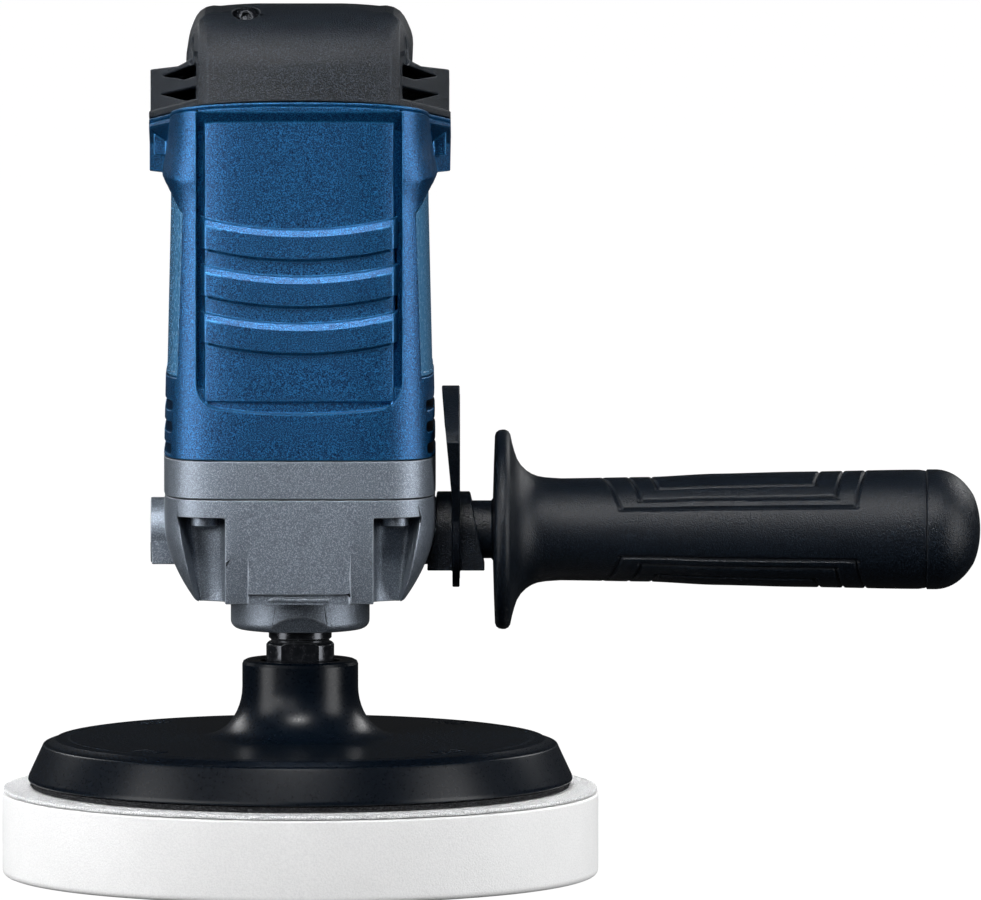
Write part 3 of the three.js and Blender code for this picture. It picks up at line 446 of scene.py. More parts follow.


# Dark and light colour of the grain, colour of worn edges with their painted highlight, roughness range,
# grain and bump in mm, metallic and specular
GRAINED = {
    "blue_plastic": ((0.0006, 0.019, 0.066), (0.011, 0.125, 0.310), (0.02, 0.16, 0.36), (0.26, 0.38),
                     0.36, 0.14, 0.66, 0.55),
    "black_plastic": ((0.0005, 0.001, 0.0025), (0.022, 0.030, 0.041), (0.02, 0.026, 0.034), (0.3, 0.46),
                      0.42, 0.3, 0.0, 0.26),
    "grip_plastic": ((0.0003, 0.001, 0.0025), (0.006, 0.0105, 0.017), (0.008, 0.012, 0.018), (0.32, 0.46),
                     0.42, 0.18, 0.0, 0.2),
    "plate_plastic": ((0.0006, 0.002, 0.0045), (0.0015, 0.0035, 0.007), (0.008, 0.012, 0.017), (0.26, 0.34),
                      0.8, 0.006, 0.0, 0.14),
    "soft_rubber": ((0.006, 0.007, 0.008), (0.014, 0.015, 0.017), (0.03, 0.03, 0.03), (0.7, 0.85),
                    0.6, 0.05, 0.0, 0.3),
    "die_casting": ((0.10, 0.12, 0.15), (0.25, 0.285, 0.33), (0.32, 0.35, 0.39), (0.32, 0.46),
                    0.34, 0.12, 0.6),
    "steel": ((0.3, 0.31, 0.33), (0.42, 0.43, 0.45), (0.6, 0.6, 0.62), (0.22, 0.34), 1.2, 0.01, 1.0),
    "dark_steel": ((0.012, 0.014, 0.018), (0.028, 0.03, 0.036), (0.14, 0.15, 0.16), (0.16, 0.28),
                   1.5, 0.01, 0.6),
    "bronze": ((0.3, 0.17, 0.07), (0.42, 0.25, 0.11), (0.55, 0.36, 0.18), (0.35, 0.5), 0.8, 0.02, 0.9),
    "copper": ((0.42, 0.16, 0.07), (0.58, 0.25, 0.12), (0.7, 0.36, 0.2), (0.28, 0.4), 0.9, 0.05, 0.9),
    "carbon": ((0.01, 0.01, 0.011), (0.03, 0.03, 0.032), (0.05, 0.05, 0.05), (0.6, 0.75), 0.3, 0.03),
    "nylon": ((0.62, 0.6, 0.52), (0.7, 0.68, 0.6), (0.75, 0.73, 0.66), (0.45, 0.6), 0.7, 0.02),
    "board": ((0.008, 0.07, 0.025), (0.014, 0.1, 0.035), (0.1, 0.2, 0.1), (0.3, 0.45), 0.8, 0.02),
    "capacitor": ((0.42, 0.24, 0.04), (0.5, 0.3, 0.06), (0.55, 0.36, 0.1), (0.35, 0.45), 1.0, 0.01),
    "felt": ((0.2, 0.19, 0.17), (0.32, 0.31, 0.28), (0.34, 0.33, 0.3), (0.9, 1.0), 0.4, 0.15),
    "label": ((0.030, 0.105, 0.20), (0.045, 0.125, 0.23), (0.06, 0.15, 0.26), (0.22, 0.3), 1.4, 0.006),
    "hook": ((0.004, 0.004, 0.005), (0.05, 0.052, 0.056), (0.06, 0.06, 0.06), (0.8, 1.0), 0.5, 0.4, 0.0, 0.2),
}


def make_materials():
    made = {name: grained(name, *values) for name, values in GRAINED.items()}
    # name: roughness, metallic, specular; noise; colour stops; roughness stops; bump in mm and its strength
    made["lamination"] = spotted("lamination", (0.45, 0.85, 0.5), (0.7, 0.0, 0.0, (0.02, 0.02, 1.0)),
                                 ((0.42, (0.06, 0.062, 0.066)), (0.58, (0.17, 0.172, 0.178))),
                                 ((0.4, 0.6), (0.6, 0.35)), (0.08, 1.0))
    made["foam"] = spotted("foam", (0.95, 0.0, 0.15), (0.55, 3.0, 0.65),
                           ((0.34, (0.73, 0.733, 0.737)), (0.6, (0.80, 0.802, 0.804))),
                           ((0.3, 1.0), (0.7, 0.88)), (0.16, 0.7), clouds=0.975)
    made["fleece"] = spotted("fleece", (1.0, 0.0, 0.1), (0.45, 4.0, 0.75),
                             ((0.38, (0.42, 0.43, 0.44)), (0.56, (0.86, 0.865, 0.87))),
                             ((0.3, 1.0), (0.7, 0.9)), (0.35, 0.9))
    return made


def spotted(name, surface, spots, colours, dullness, bump, clouds=None):
    """One noise for colour, roughness and bump: sheets of steel, pores of foam or fibres of fleece.
    clouds adds a faint slow mottling, down to that brightness."""
    material, shader = new_material(name, *surface)
    value = noise(material, *spots)
    colour = ramp(material, value, colours)
    if clouds:
        slow = ramp(material, noise(material, 14.0, 2.0), ((0.3, clouds), (0.7, 1.0)))
        colour = mixed_colour(material, "MULTIPLY", 1.0, colour, slow)
    wire(material, shader.inputs["Base Color"], colour)
    wire(material, shader.inputs["Roughness"], ramp(material, value, dullness))
    bumped(material, shader, value, *bump)
    return material


# ---- Camera, floor and light ----
PIXELS_PER_MM, FRAME_WIDTH = 3.3167, 981
PITCH = math.radians(5)


def add_camera():
    camera = bpy.data.objects.new("camera", bpy.data.cameras.new("camera"))
    scene.collection.objects.link(camera)
    camera.data.lens, camera.data.sensor_width = 1000.0, 36.0
    target = Vector((0.0574, 0.0, 0.1284))
    back = Vector((0.0, -math.cos(PITCH), math.sin(PITCH)))
    distance = FRAME_WIDTH / PIXELS_PER_MM * MM * camera.data.lens / camera.data.sensor_width
    camera.location = target + back * distance
    camera.rotation_euler = (math.pi / 2 - PITCH, 0.0, 0.0)
    scene.camera = camera


def add_floor():
    """A wide white floor that is evenly bright, so that it reads as an endless studio ground."""
    bpy.ops.mesh.primitive_plane_add(size=120.0)
    floor = bpy.context.object
    floor.name = "floor"
    material, shader = new_material("floor_white", 0.9, 0.0, 0.0)
    shader.inputs["Base Color"].default_value = (0.06, 0.06, 0.06, 1)
    shader.inputs["Emission Color"].default_value = (1, 1, 1, 1)
    shader.inputs["Emission Strength"].default_value = 1.0
    floor.data.materials.append(material)
    floor.visible_glossy = False
    floor.visible_diffuse = False


def add_light(name, at, aim, size, power, spread=180):
    lamp = bpy.data.objects.new(name, bpy.data.lights.new(name, "AREA"))
    scene.collection.objects.link(lamp)
    lamp.data.shape = "RECTANGLE"
    lamp.data.size, lamp.data.size_y = size
    lamp.data.energy, lamp.data.spread = power, math.radians(spread)
    lamp.location = at
    lamp.rotation_euler = (Vector(aim) - Vector(at)).to_track_quat("-Z", "Y").to_euler()
    lamp.visible_camera = False


def add_lights():
    aim = (0.02, 0.0, 0.14)
    add_light("left_softbox", (-1.22, -0.5, 0.25), aim, (0.62, 1.2), 19.0)
    add_light("right_softbox", (1.22, -0.5, 0.25), aim, (0.62, 1.2), 21.0)
    add_light("front_softbox", (-0.55, -1.3, 0.60), aim, (0.8, 0.6), 5.0)
    add_light("brow_softbox", (-0.1, -1.0, 1.15), aim, (1.2, 0.25), 2.5)
    add_light("rib_softbox", (-0.03, -0.45, 0.63), (0.0, -0.04, 0.19), (0.6, 0.14), 0.5, 30)
    add_light("key_softbox", (-0.42, -0.42, 0.27), (-0.05, -0.04, 0.20), (0.2, 0.3), 0.12, 45)
    add_light("rear_left_softbox", (-1.1, 1.1, 0.9), aim, (0.6, 0.6), 8.0)
    add_light("rear_right_softbox", (1.1, 1.1, 0.9), aim, (0.6, 0.6), 8.0)


def add_world():
    """White where the camera sees it, and almost no light on the object."""
    world = bpy.data.worlds.new("studio")
    scene.world = world
    world.use_nodes = True
    camera_ray = shader_node(world, "LightPath").outputs["Is Camera Ray"]
    strength = shader_node(world, "MapRange", Value=camera_ray, To_Min=0.03, To_Max=1.0)
    background = world.node_tree.nodes["Background"]
    background.inputs["Color"].default_value = (1, 1, 1, 1)
    wire(world, background.inputs["Strength"], strength.outputs["Result"])
    scene.view_settings.view_transform = "Standard"


# ---- Pad ----
def add_foam():
    radius, low, high = foam_high.x, foam_low.z, foam_high.z
    edge = rounded([(0.0, low), (radius, low), (radius, high), (0.0, high)], (0, 2.2, 0.8, 0))
    foam = piece(turned(edge, sides=220), "pad_foam", "foam_pad", "foam", body="pad_spindle")


def add_fleece():
    """The napped backing has an uneven, slightly furry edge."""
    rng = random.Random(4)
    count = 480
    rings = []
    for level, inset in ((fleece_low.z, 0.25), (fleece_low.z + 0.5, 0.0), (fleece_high.z - 0.1, 0.15)):
        ring = []
        for i in range(count):
            radius = fleece_high.x - inset - 0.5 * rng.random() ** 2
            ring.append((*polar(radius, FULL_TURN * i / count), level + 0.1 * rng.random()))
        rings.append(ring)
    piece(skinned(rings), "pad_fleece", "foam_loop_backing", "fleece", body="pad_spindle")


def add_hooks():
    """A disc of hook fabric with stiff bristles standing out around its rim."""
    rng = random.Random(7)
    points, faces = [], []
    radius = hook_high.x - 0.9
    for _ in range(1500):
        turn = rng.uniform(0, 2 * math.pi)
        length, level = rng.uniform(0.3, 0.9), rng.uniform(hook_low.z + 0.2, hook_high.z - 0.3)
        lean, half = rng.uniform(-0.5, 0.5), rng.uniform(0.05, 0.1)
        out = Vector((math.cos(turn), math.sin(turn), 0))
        along = Vector((-out.y, out.x, 0))
        root = out * (radius - 0.4) + Vector((0, 0, level))
        tip = out * (radius + length) + along * lean + Vector((0, 0, rng.uniform(-0.25, 0.25) + level))
        start = len(points)
        corners = (along * half, Vector((0, 0, half)), -along * half, Vector((0, 0, -half)))
        points += [root + c for c in corners] + [tip]
        faces += [tuple(start + i for i in (0, 3, 2, 1))]
        faces += [(start + i, start + (i + 1) % 4, start + 4) for i in range(4)]
    disc = rod("z", hook_low.z, hook_high.z, radius, sides=160)
    bristles = solid(points, faces)
    with bpy.context.temp_override(active_object=disc, selected_editable_objects=[disc, bristles]):
        bpy.ops.object.join()
    piece(disc, "pad_hooks", "hook_layer", "hook", body="pad_spindle")


# ---- Backing plate and spindle ----
def plate_outline():
    edge, rim, top, hub = plate_high.x, 77.3, 41.4, 17.5
    rim_z, flare_z, flare, low, high = 38.6, 57.0, 12.5, plate_low.z, plate_high.z
    outline = [(0.0, low), (edge - 0.4, low), (edge, low + 0.4), (edge - 0.25, low + 1.6)]
    outline += [(rim + 0.7, rim_z), (rim + 0.3, rim_z + 0.9), (rim - 0.4, rim_z + 1.2)]
    outline += [(rim - 1.2, rim_z + 1.25), (rim - 2.2, rim_z + 1.7), (rim - 3.4, rim_z + 2.5)]
    outline += [(rim - 4.6, top - 0.1), (rim - 5.4, top), (rim - 6.6, top), (rim - 6.9, top - 0.3)]
    outline += [(rim - 7.4, top - 0.3), (rim - 7.7, top)]
    for turn in evenly(0.0, math.pi / 2, 12):
        out = hub + flare * (1 - math.sin(turn))
        outline.append((out, flare_z - (flare_z - top - 0.4) * math.cos(turn)))
    outline += [(hub, high - 1.3), (hub - 0.35, high - 0.45), (hub - 1.2, high)]
    return outline + [(13.4, high), (12.6, high - 0.5), (12.3, 41.7), (0.0, 41.7)]


def add_plate():
    """The plate carries four groups of raised bars."""
    marks = []
    for i in range(4):
        for k in (-1.5, -0.5, 0.5, 1.5):
            bar = block((60.5, 66.0), (-0.55, 0.55), (40.6, 41.75))
            bar.data.transform(Matrix.Rotation(math.radians(45 + 90 * i) + k * 0.045, 4, "Z"))
            marks.append(bar)
    shape = fine_edged(join(turned(plate_outline(), sides=200), *marks), 0.25)
    piece(shape, "backing_disc", "backing_plate", "plate_plastic", body="pad_spindle")


def add_spindle():
    radius, collar, neck, seat, journal = 7.0, 10.25, 9.5, 7.5, 5.0
    low, high, flat = 60.8, 70.6, 8.5
    outline = [(0, 42.6), (radius - 1, 42.6), (radius, 43.6)] + thread(radius, 0.5, 44.4, 1.35, 12)
    outline += [(radius, low), (collar - 0.4, low), (collar, low + 0.4), (collar, high - 0.8)]
    outline += [(collar - 0.8, high), (neck - 0.7, high), (neck - 0.7, high + 0.7), (neck, high + 1.1)]
    outline += [(neck, 81), (seat, 81)]
    outline += [(seat, 101.2), (journal, 101.2), (journal, 105.4), (journal - 0.3, 105.7), (0, 105.7)]
    flats = [block((-20, 20), span(side, flat, 20), (low - 1, high)) for side in (1, -1)]
    shape = fine_edged(cut(turned(outline, sides=72), *flats), 0.25)
    piece(shape, "drive_spindle", "spindle", "dark_steel", body="pad_spindle")


# ---- Gear housing ----
def case_side(z):
    """Half width of the case, which is drawn in towards its bottom."""
    down = min(1.0, max(0.0, (CASE["bend"] - z) / (CASE["bend"] - CASE["bottom"])))
    return mixed(CASE_HALF, CASE["bottom_half"], down ** 1.85)


def case_block(inset=0.0):
    return prism(SOFT_SQUARE, "z", evenly(CASE["bottom"], CASE["bend"], 14) + [CASE["top"]],
                 lambda x, y, z: (x * (case_side(z) - inset), y * (CASE_HALF - inset), z))


def screw_pocket(side_x, side_y):
    """A corner pocket around a screw, open to the front or rear and downward, with a slanted outer wall."""
    ceiling, slant = 111.2, 0.19
    plan = rounded([(22.3, 50), (22.3, 29.6), (34.2, 24.2), (36.2, 32.5), (39.0, 50)],
                   (0, 3.6, 5.5, 2.0, 0), 8)

    def slanted(x, y, z):
        return (max(29.0, x - (ceiling - z) * slant) if x > 29 else x, y, z)

    return mirrored(prism(plan, "z", (80.0, ceiling), slanted), side_x, side_y)


def front_relief(side_x, side_y):
    """Beside the middle of the front the wall draws back towards the bottom."""
    outer, inner = 24.0, 15.4
    shape = block((inner, outer), (-60, -37.9), (80.0, 102.5),
                  lambda x, y, z: (x, y if y < -50 else (-CASE_HALF - 0.1 if z > 100 else -37.9), z))
    return mirrored(shape, side_x, side_y)


def bottom_step(side_y):
    """A shallow step along the front's lower edge, under the raised middle."""
    return mirrored(block((-15.3, 15.3), (-60, -39.6), (80.0, 88.2)), 1, side_y)


def rotation_arrow():
    """A plain arrow that shows which way the spindle turns, raised from the step."""
    outline = [(-9.2, 86.6), (-5.2, 87.75), (-4.7, 87.2), (8.6, 87.2), (8.9, 86.1), (-9.0, 86.1)]
    return prism(outline, "y", (-39.95, -38.0))


def nose_outline():
    radius, bottom, bend = 20.95, case_low.z, 2.6
    edge = arc(bend, -math.pi / 2, 0.0, 6, (radius - bend, bottom + bend))
    return [(10.6, bottom), (radius - 3.2, bottom)] + edge + [(radius, 88.0), (10.6, 88.0)]


def nose_facet():
    """A slanted flat on the front of the nose."""
    return block((-30, 30), (-60, -17.3), (70.0, 79.7),
                 lambda x, y, z: (x, y if y < -50 else (-20.95 if z > 75 else -15.2), z))


def side_boss(side):
    """A boss for the side handle: round above its middle and square below it."""
    end, step = BOSS["end"], 0.35
    half = BOSS["radius"] - step
    upper = rod("x", *span(side, 0.0, end), BOSS["radius"], SIDE_AXIS, 96)
    heights = (SIDE_AXIS_Z - BOSS["radius"], SIDE_AXIS_Z - step)
    return join(upper, block(span(side, 0.0, end - step), (-half, half), heights))


CORNERS = ((-1, -1), (1, -1), (-1, 1), (1, 1))
SCREWS = [(28.7 * x, 31.0 * y) for x, y in CORNERS]  # places of the gear housing's screws


def screw_holes(low, high):
    return [rod("z", low, high, SCREW["hole"], at, 24) for at in SCREWS]


def add_gear_case():
    outside = join(case_block(), side_boss(1), side_boss(-1), turned(nose_outline(), sides=128))
    room = [rod("z", 92, 120, 17), rod("z", 92, 120, 17.5, (0.0, 18.0)), rod("z", 81.1, 93, 17.8)]
    room += [rod("z", 77.4, 82, 13.3), rod("z", 70, 82, 10.6)]
    bores = [rod("x", *span(side, 33, 46), STUD_BORE, SIDE_AXIS) for side in (1, -1)]
    pockets = [screw_pocket(x, y) for x, y in CORNERS]
    reliefs = [front_relief(x, y) for x, y in CORNERS]
    shape = cut(outside, nose_facet(), bottom_step(-1), bottom_step(1), *reliefs, *pockets, *room, *bores)
    shape = cut(shape, *screw_holes(105, 120))
    piece(bevelled(join(shape, rotation_arrow())), "gear_case", "gear_housing", "die_casting")


def add_flange():
    half = flange_high.x
    shape = prism(SOFT_SQUARE, "z", (flange_low.z, flange_high.z), lambda x, y, z: (x * half, y * half, z))
    rooms = [rod("z", 110, 130, 7), rod("z", 122, 130, 12.3), rod("z", 116, 121, 5.9, (0, 18.0))]
    shape = cut(shape, *rooms, *screw_holes(110, 130))
    piece(bevelled(shape), "middle_flange", "intermediate_flange", "die_casting")


def screw_shape(axis, head, shank, head_radius, socket_depth, at):
    """A pan-head screw with a six-sided socket. head and shank are (low, high) along the axis."""
    up = head[1] > shank[1]
    face = head[1] if up else head[0]
    dome = 0.8 if up else -0.8
    back = head[0] if up else head[1]
    outline = [(0.0, face), (head_radius * 0.6, face), (head_radius, face - dome)]
    outline += [(head_radius, back), (0.0, back)]
    pan = turned(outline, axis, at, 40)
    socket = (face - socket_depth, face + 1) if up else (face - 1, face + socket_depth)
    return cut(join(pan, rod(axis, *shank, SCREW["shank"], at, 24)),
               rod(axis, *socket, head_radius * 0.42, at, 6))


def add_screw(shape, node, look="dark_steel"):
    piece(fine_edged(shape), f"{node}_fine", node, "dark_steel", look=look)


def add_gear_screws():
    for at, name in zip(SCREWS, ("front_left", "front_right", "rear_left", "rear_right")):
        add_screw(screw_shape("z", (107.7, 110.9), (108.5, 146.0), 4.0, 1.6, at), f"gear_screw_{name}",
                  look="die_casting")


# ---- Motor housing ----
def body_half(z):
    t = min(1.0, (z - BODY["bottom"]) / (BODY["waist"] - BODY["bottom"]))
    return mixed(BODY["low_half"], BODY["high_half"], t)


def body_block(inset, low, high):
    levels = [low] + [z for z in (BODY["waist"],) if low < z < high] + [high]
    return prism(SOFT_SQUARE, "z", levels,
                 lambda x, y, z: (x * (body_half(z) - inset), y * (body_half(z) - inset), z))


def front_of_body(x, z, inset):
    """Y of the housing's front at a place, on a surface that lies inset inside the outer one."""
    half = body_half(z) - inset
    return -half * (1 - abs(x / half) ** 5) ** 0.2


def seam_z(x, y):
    """The joint between housing and cover slopes down to the rear and a little to both sides."""
    return SEAM["front_z"] - SEAM["slope"] * (y - SEAM["front_y"]) - SEAM["crown"] * x * x


def beside_seam(low, high):
    """Everything between two heights above the seam."""
    corners = ((-FAR, low), (-FAR, high), (FAR, high), (FAR, low))
    return skinned([[(x, y, level + seam_z(x, y)) for y, level in corners] for x in evenly(-FAR, FAR, 32)])


def shoulder_plan(inset):
    """Plan of the cover and of the band under it: slanted beside the dome, then straight to the rear."""
    side, front = SHOULDER["half"] - inset, DOME["corner"] + inset
    return both_sides([(DOME["face"] + DOME_CORNER - inset / 2, front),
                       (side, SHOULDER["front_y"] + inset / 2), (side, BODY["rear"] - inset)])


def block_plan():
    """Plan of the shoulder blocks, whose fronts stand back from the band."""
    side = SHOULDER["half"] - 0.1
    return both_sides([(27.0, -24.0), (side, SHOULDER["front_y"] + 7), (side, BODY["rear"])])


def shoulder_blocks():
    """Blocks on both sides that grow into the band under the seam."""
    low, band = block_plan(), shoulder_plan(0)
    rings = [[(x, y, SHOULDER["bottom"]) for x, y in low]]
    for plan, level in ((low, -7.0), (band, -2.9), (band, 3.0)):
        rings.append([(x, y, level + seam_z(x, y)) for x, y in plan])
    return skinned(rings)


def shoulder_fillet():
    """The sides swell out under the shoulder blocks and draw back in front of them."""
    swell = ((205.5, 0.0), (208, 0.25), (210, 0.9), (211.6, 1.6), (212.8, 2.1), (215, 1.9), (219, 1.1),
             (224, 0.3), (229, 0))
    return skinned([[(x * (body_half(z) + out), y * body_half(z), z) for x, y in SOFT_SQUARE]
                    for z, out in swell])


def band_line():
    """A thin groove around the band."""
    core = join(body_block(0.35, 200, 260), prism(shoulder_plan(0.35), "z", (200, 260)))
    return cut(beside_seam(-1.45, -1.1), core)


def shoulder_room():
    rear = block(ACROSS, (SHOULDER["front_y"] - 10, FAR), (SHOULDER["bottom"] + DOME["wall"], 300))
    return common(prism(shoulder_plan(DOME["wall"] + 1.5), "z", (SHOULDER["bottom"], 245)), rear,
                  prism(block_plan(), "z", (200, 260)))


def panel_outline():
    """Front view of the recess: straight sides, round lower corners and a bottom that sags a little."""
    half, low, high, bend = PANEL["half"], PANEL["bottom"], PANEL["top"], PANEL["round"]
    sag = 1.4
    bottom = [(t * (half - bend), low - sag * (1 - t * t)) for t in evenly(-1.0, 1.0, 12)]
    corner = arc(bend, -math.pi / 2, 0.0, 8, (half - bend, low + bend))[1:-1]
    left = [(-x, z) for x, z in reversed(corner)]
    top = [(x, high) for x in evenly(half, -half, 16)]
    return top + [(-half, low + bend)] + left + bottom + corner + [(half, low + bend)]


def raised_panel_plan():
    """Plan of the raised middle: chamfered along both sides."""
    half = RAISED["half"]
    return [(-half - 0.7, -30), (-half - 0.7, -36.4), (-half + 0.6, -38.3), (-half + 0.6, -60),
            (half - 0.6, -60), (half - 0.6, -38.3), (half + 0.7, -36.4), (half + 0.7, -30)]


def front_recess():
    slope, high = PANEL["slope"], PANEL["top"]

    def slanted(x, y, z):
        return (x, y, z + (front_of_body(x, high, 0) - y) * slope if z > high - 1 else z)

    tool = prism(panel_outline(), "y", (-60, -20), slanted)
    raised = common(prism(raised_panel_plan(), "z", (RAISED["bottom"], 260)),
                    body_block(RAISED["inset"], 140, 260))
    return cut(tool, join(body_block(PANEL["floor"], 135, 255), raised))


def rib_sag(x):
    return RIBS["radius"] - math.sqrt(RIBS["radius"] ** 2 - x * x)


def front_strip(stations, corners_at):
    """A bar across the front. corners_at(x) gives its corners as (depth inside the face, height)."""
    return skinned([[(x, front_of_body(x, z, inset), z) for inset, z in corners_at(x)] for x in stations])


def front_rib(index):
    """A rib that hangs like a smile, with a broad chamfer above, a square edge below and chamfered ends."""
    top = RIBS["top"] - index * RIBS["pitch"]
    half, end, root = RIBS["half"], 1.3, PANEL["floor"]

    def corners(x):
        face = 1.9 if abs(x) > half - 0.01 else 0.1
        high, low = top + rib_sag(x), top + rib_sag(x) - RIBS["height"]
        chamfered = ((max(face, 1.15), high), (face, high - RIBS["chamfer"]))
        return ((root, high), *chamfered, (face, low), (root, low))

    return front_strip([-half] + evenly(-half + end, half - end, 24) + [half], corners)


def rib_shadow(index):
    """A narrow groove along the foot of a rib."""
    top = RIBS["top"] - index * RIBS["pitch"] - RIBS["height"]
    half, depth = RAISED["half"] - 0.4, 2.1

    def corners(x):
        high, low = top + rib_sag(x) + 0.2, top + rib_sag(x) - 0.45
        return ((depth, high), (0.0, high), (0.0, low), (depth, low))

    return front_strip(evenly(-half, half, 24), corners)


def side_arch(inset):
    front, rear = LABEL["front"] + inset, LABEL["rear"] - inset
    low, spring, middle = LABEL["bottom"] + inset, LABEL["spring"] - inset, (front + rear) / 2
    top = curve((rear, spring), (middle, spring + 2 * LABEL["rise"]), (front, spring), 16)
    return [(front, low), (rear, low), (rear, spring)] + top


def side_band(side, inset, outer, inner):
    """A piece of shell inside the label's arch, between two depths under the housing's surface."""
    band = cut(body_block(outer, 145, 225), body_block(inner, 140, 230))
    return common(prism(side_arch(inset), "x", span(side, 25, 60)), band)


def outlet_slots():
    slots = []
    for i in range(OUTLETS["count"]):
        low = OUTLETS["low"] + i * OUTLETS["pitch"]
        high, reach = low + OUTLETS["height"], OUTLETS["half_y"]
        outline = rounded([(-reach, low), (reach, low), (reach, high), (-reach, high)], (1.5,) * 4)
        slots += [prism(outline, "x", span(side, 33.5, 60)) for side in (1, -1)]
    return slots


def bearing_spider():
    low, high = 218.0, 226.5
    ring = turned([(11.3, low), (14.5, low), (14.5, high), (11.3, high)], sides=48)
    floor = turned([(6.5, low), (12, low), (12, 219.2), (6.5, 219.2)], sides=48)
    return join(ring, floor, *[block(span(side, 13, 44), (-5, 5), (low, high - 1)) for side in (1, -1)])


def add_housing():
    outside = join(body_block(0, BODY["bottom"], 240), shoulder_fillet(), shoulder_blocks())
    inside = join(body_block(BODY["wall"], BODY["bottom"] - 1, 250), shoulder_room())
    recesses = [side_band(side, 0, -1, LABEL["recess"]) for side in (-1, 1)]
    wires = block((-12, 12), (30, 60), (212, 219))
    shell = cut(outside, inside, wires, front_recess(), *recesses, *outlet_slots())
    ribs = [front_rib(i) for i in range(RIBS["count"])]
    pillars = [rod("z", BODY["bottom"], 150, 4.6, at, 32) for at in SCREWS]
    shell = join(shell, bearing_spider(), *ribs, *pillars)
    shell = cut(shell, band_line(), *[rib_shadow(i) for i in range(RIBS["count"])])
    shell = cut(shell, beside_seam(-GAP, 90), *screw_holes(120, 147))
    piece(bevelled(shell), "housing_shell", "motor_housing", "blue_plastic")


def add_labels():
    """Blank glossy panels in the recesses on both sides, each with a plain raised border."""
    for side, name in ((-1, "left"), (1, "right")):
        plain = side_band(side, 0.5, 0.45, LABEL["recess"] - 0.3)
        border = cut(side_band(side, 0.5, 0.25, LABEL["recess"] - 0.3), side_band(side, 1.6, -1, 3))
        shape = bevelled(join(plain, border), 0.12, 2)
        node = f"side_label_{name}"
        piece(shape, f"{node}_panel", node, "label")


# ---- Top cover ----
def dome_front(inset):
    """Front view of the dome."""
    top, side = DOME["top"] - inset, DOME["half"] - inset
    half = [(side - 0.3, 200), (side - 0.3, 245), (side, 248), (side - 0.1, 250), (side - 0.7, 252.6)]
    half += [(side - 1.8, 256), (side - 2.7, 258.2 - inset / 2), (side - 3.9, 260.2 - inset / 2)]
    half += [(side - 5.6, 261.7 - inset / 2), (side - 8.0, 262.5 - inset)]
    crown = DOME["crown"]
    half += [(x, top - (crown - math.sqrt(crown ** 2 - x * x))) for x in evenly(24.0, 0.0, 10)]
    return both_sides(half)


def dome_side(inset):
    """Side view of the dome: upright front, rounded brow and a back that falls towards the handle."""
    front, rear, top = DOME["front"] + inset, BODY["rear"] - inset, DOME["top"]
    brow, end = (-14, top - 0.3 - inset), (rear, 251.5 - inset)
    profile = [(front, 200), (front, 247)] + curve((front, 247), (front + 1.2, top - 2 - inset), brow)
    return profile + curve(brow, (6, top + 0.6 - inset), end) + [(rear, 200)]


def dome_plan(inset):
    """Plan of the dome: a bowed front, chamfered corners and sides that widen to the rear."""
    side, front, rear = DOME["half"] - inset, DOME["front"] + inset, BODY["rear"] - inset
    face = DOME["face"] - inset / 2
    bowed = [(x, front + x ** 2 / (2 * DOME["bow"])) for x in evenly(0.0, face, 10)]
    return both_sides(bowed + [(face + DOME_CORNER, DOME["corner"] + inset), (side, -22), (side, rear)])


def dome_setback(x):
    """How far the dome's face lies behind its middle, at x."""
    face, beyond = min(abs(x), DOME["face"]), max(0.0, abs(x) - DOME["face"])
    corner, side = min(beyond, DOME_CORNER), max(0.0, beyond - DOME_CORNER)
    return face ** 2 / (2 * DOME["bow"]) + 0.95 * corner + 2.9 * side


def dome_block(inset):
    def follow(x, y, z):
        return (x, y + dome_setback(x) * min(1.0, max(0.0, y / DOME["front"])), z)

    edge, past = DOME["face"] + DOME_CORNER, 36.0
    stations = [-past, -edge, -DOME["face"]] + evenly(-24.0, 24.0, 12) + [DOME["face"], edge, past]
    return common(prism(dome_front(inset), "y", ACROSS), prism(dome_side(inset), "x", stations, follow),
                  prism(dome_plan(inset), "z", UPPER))


def cover_shoulders(inset, step=0.0):
    """The louvred blocks beside the dome; their tops fall towards the rear like the seam."""
    side = SHOULDER["half"] - inset
    top = [(side, 243.4), (side - 0.8, 243.9), (36.5, 243.4), (33.0, 244.6), (30.2, 246.2)]
    outline = both_sides([(side, 200)] + [(x, z - inset) for x, z in top])

    def falling(x, y, z):
        return (x, y, z - SEAM["slope"] * (y - SHOULDER["front_y"]) if z > 220 else z)

    return common(prism(outline, "y", ACROSS, falling), prism(shoulder_plan(inset + step), "z", UPPER))


def cover_rim():
    """A band along the cover's lower edge that stands a little proud of the louvred faces."""
    return common(prism(shoulder_plan(0), "z", UPPER), beside_seam(0, 2.1))


def louvre(side, outline):
    """An air opening with a sloping fin above it, cut from front to rear."""
    return prism([(x * side, z) for x, z in outline], "y", (-50, -6),
                 lambda x, y, z: (x, y, z - (y + 36) * 0.23))


def cheek_dish(side):
    """A shallow oval hollow in the side of the dome behind the chamfer."""
    outline = [(-29.0 + 4.2 * a, 251.6 + 5.0 * b) for a, b in circle(1.0, sides=40)]
    return prism(outline, "x", span(side, 31.6, 40))


def along_cover_screw(shape):
    turn = Matrix.Rotation(math.radians(-COVER_SCREW["tilt"]), 4, "X")
    shape.data.transform(Matrix.Translation(COVER_SCREW["at"]) @ turn)
    return shape


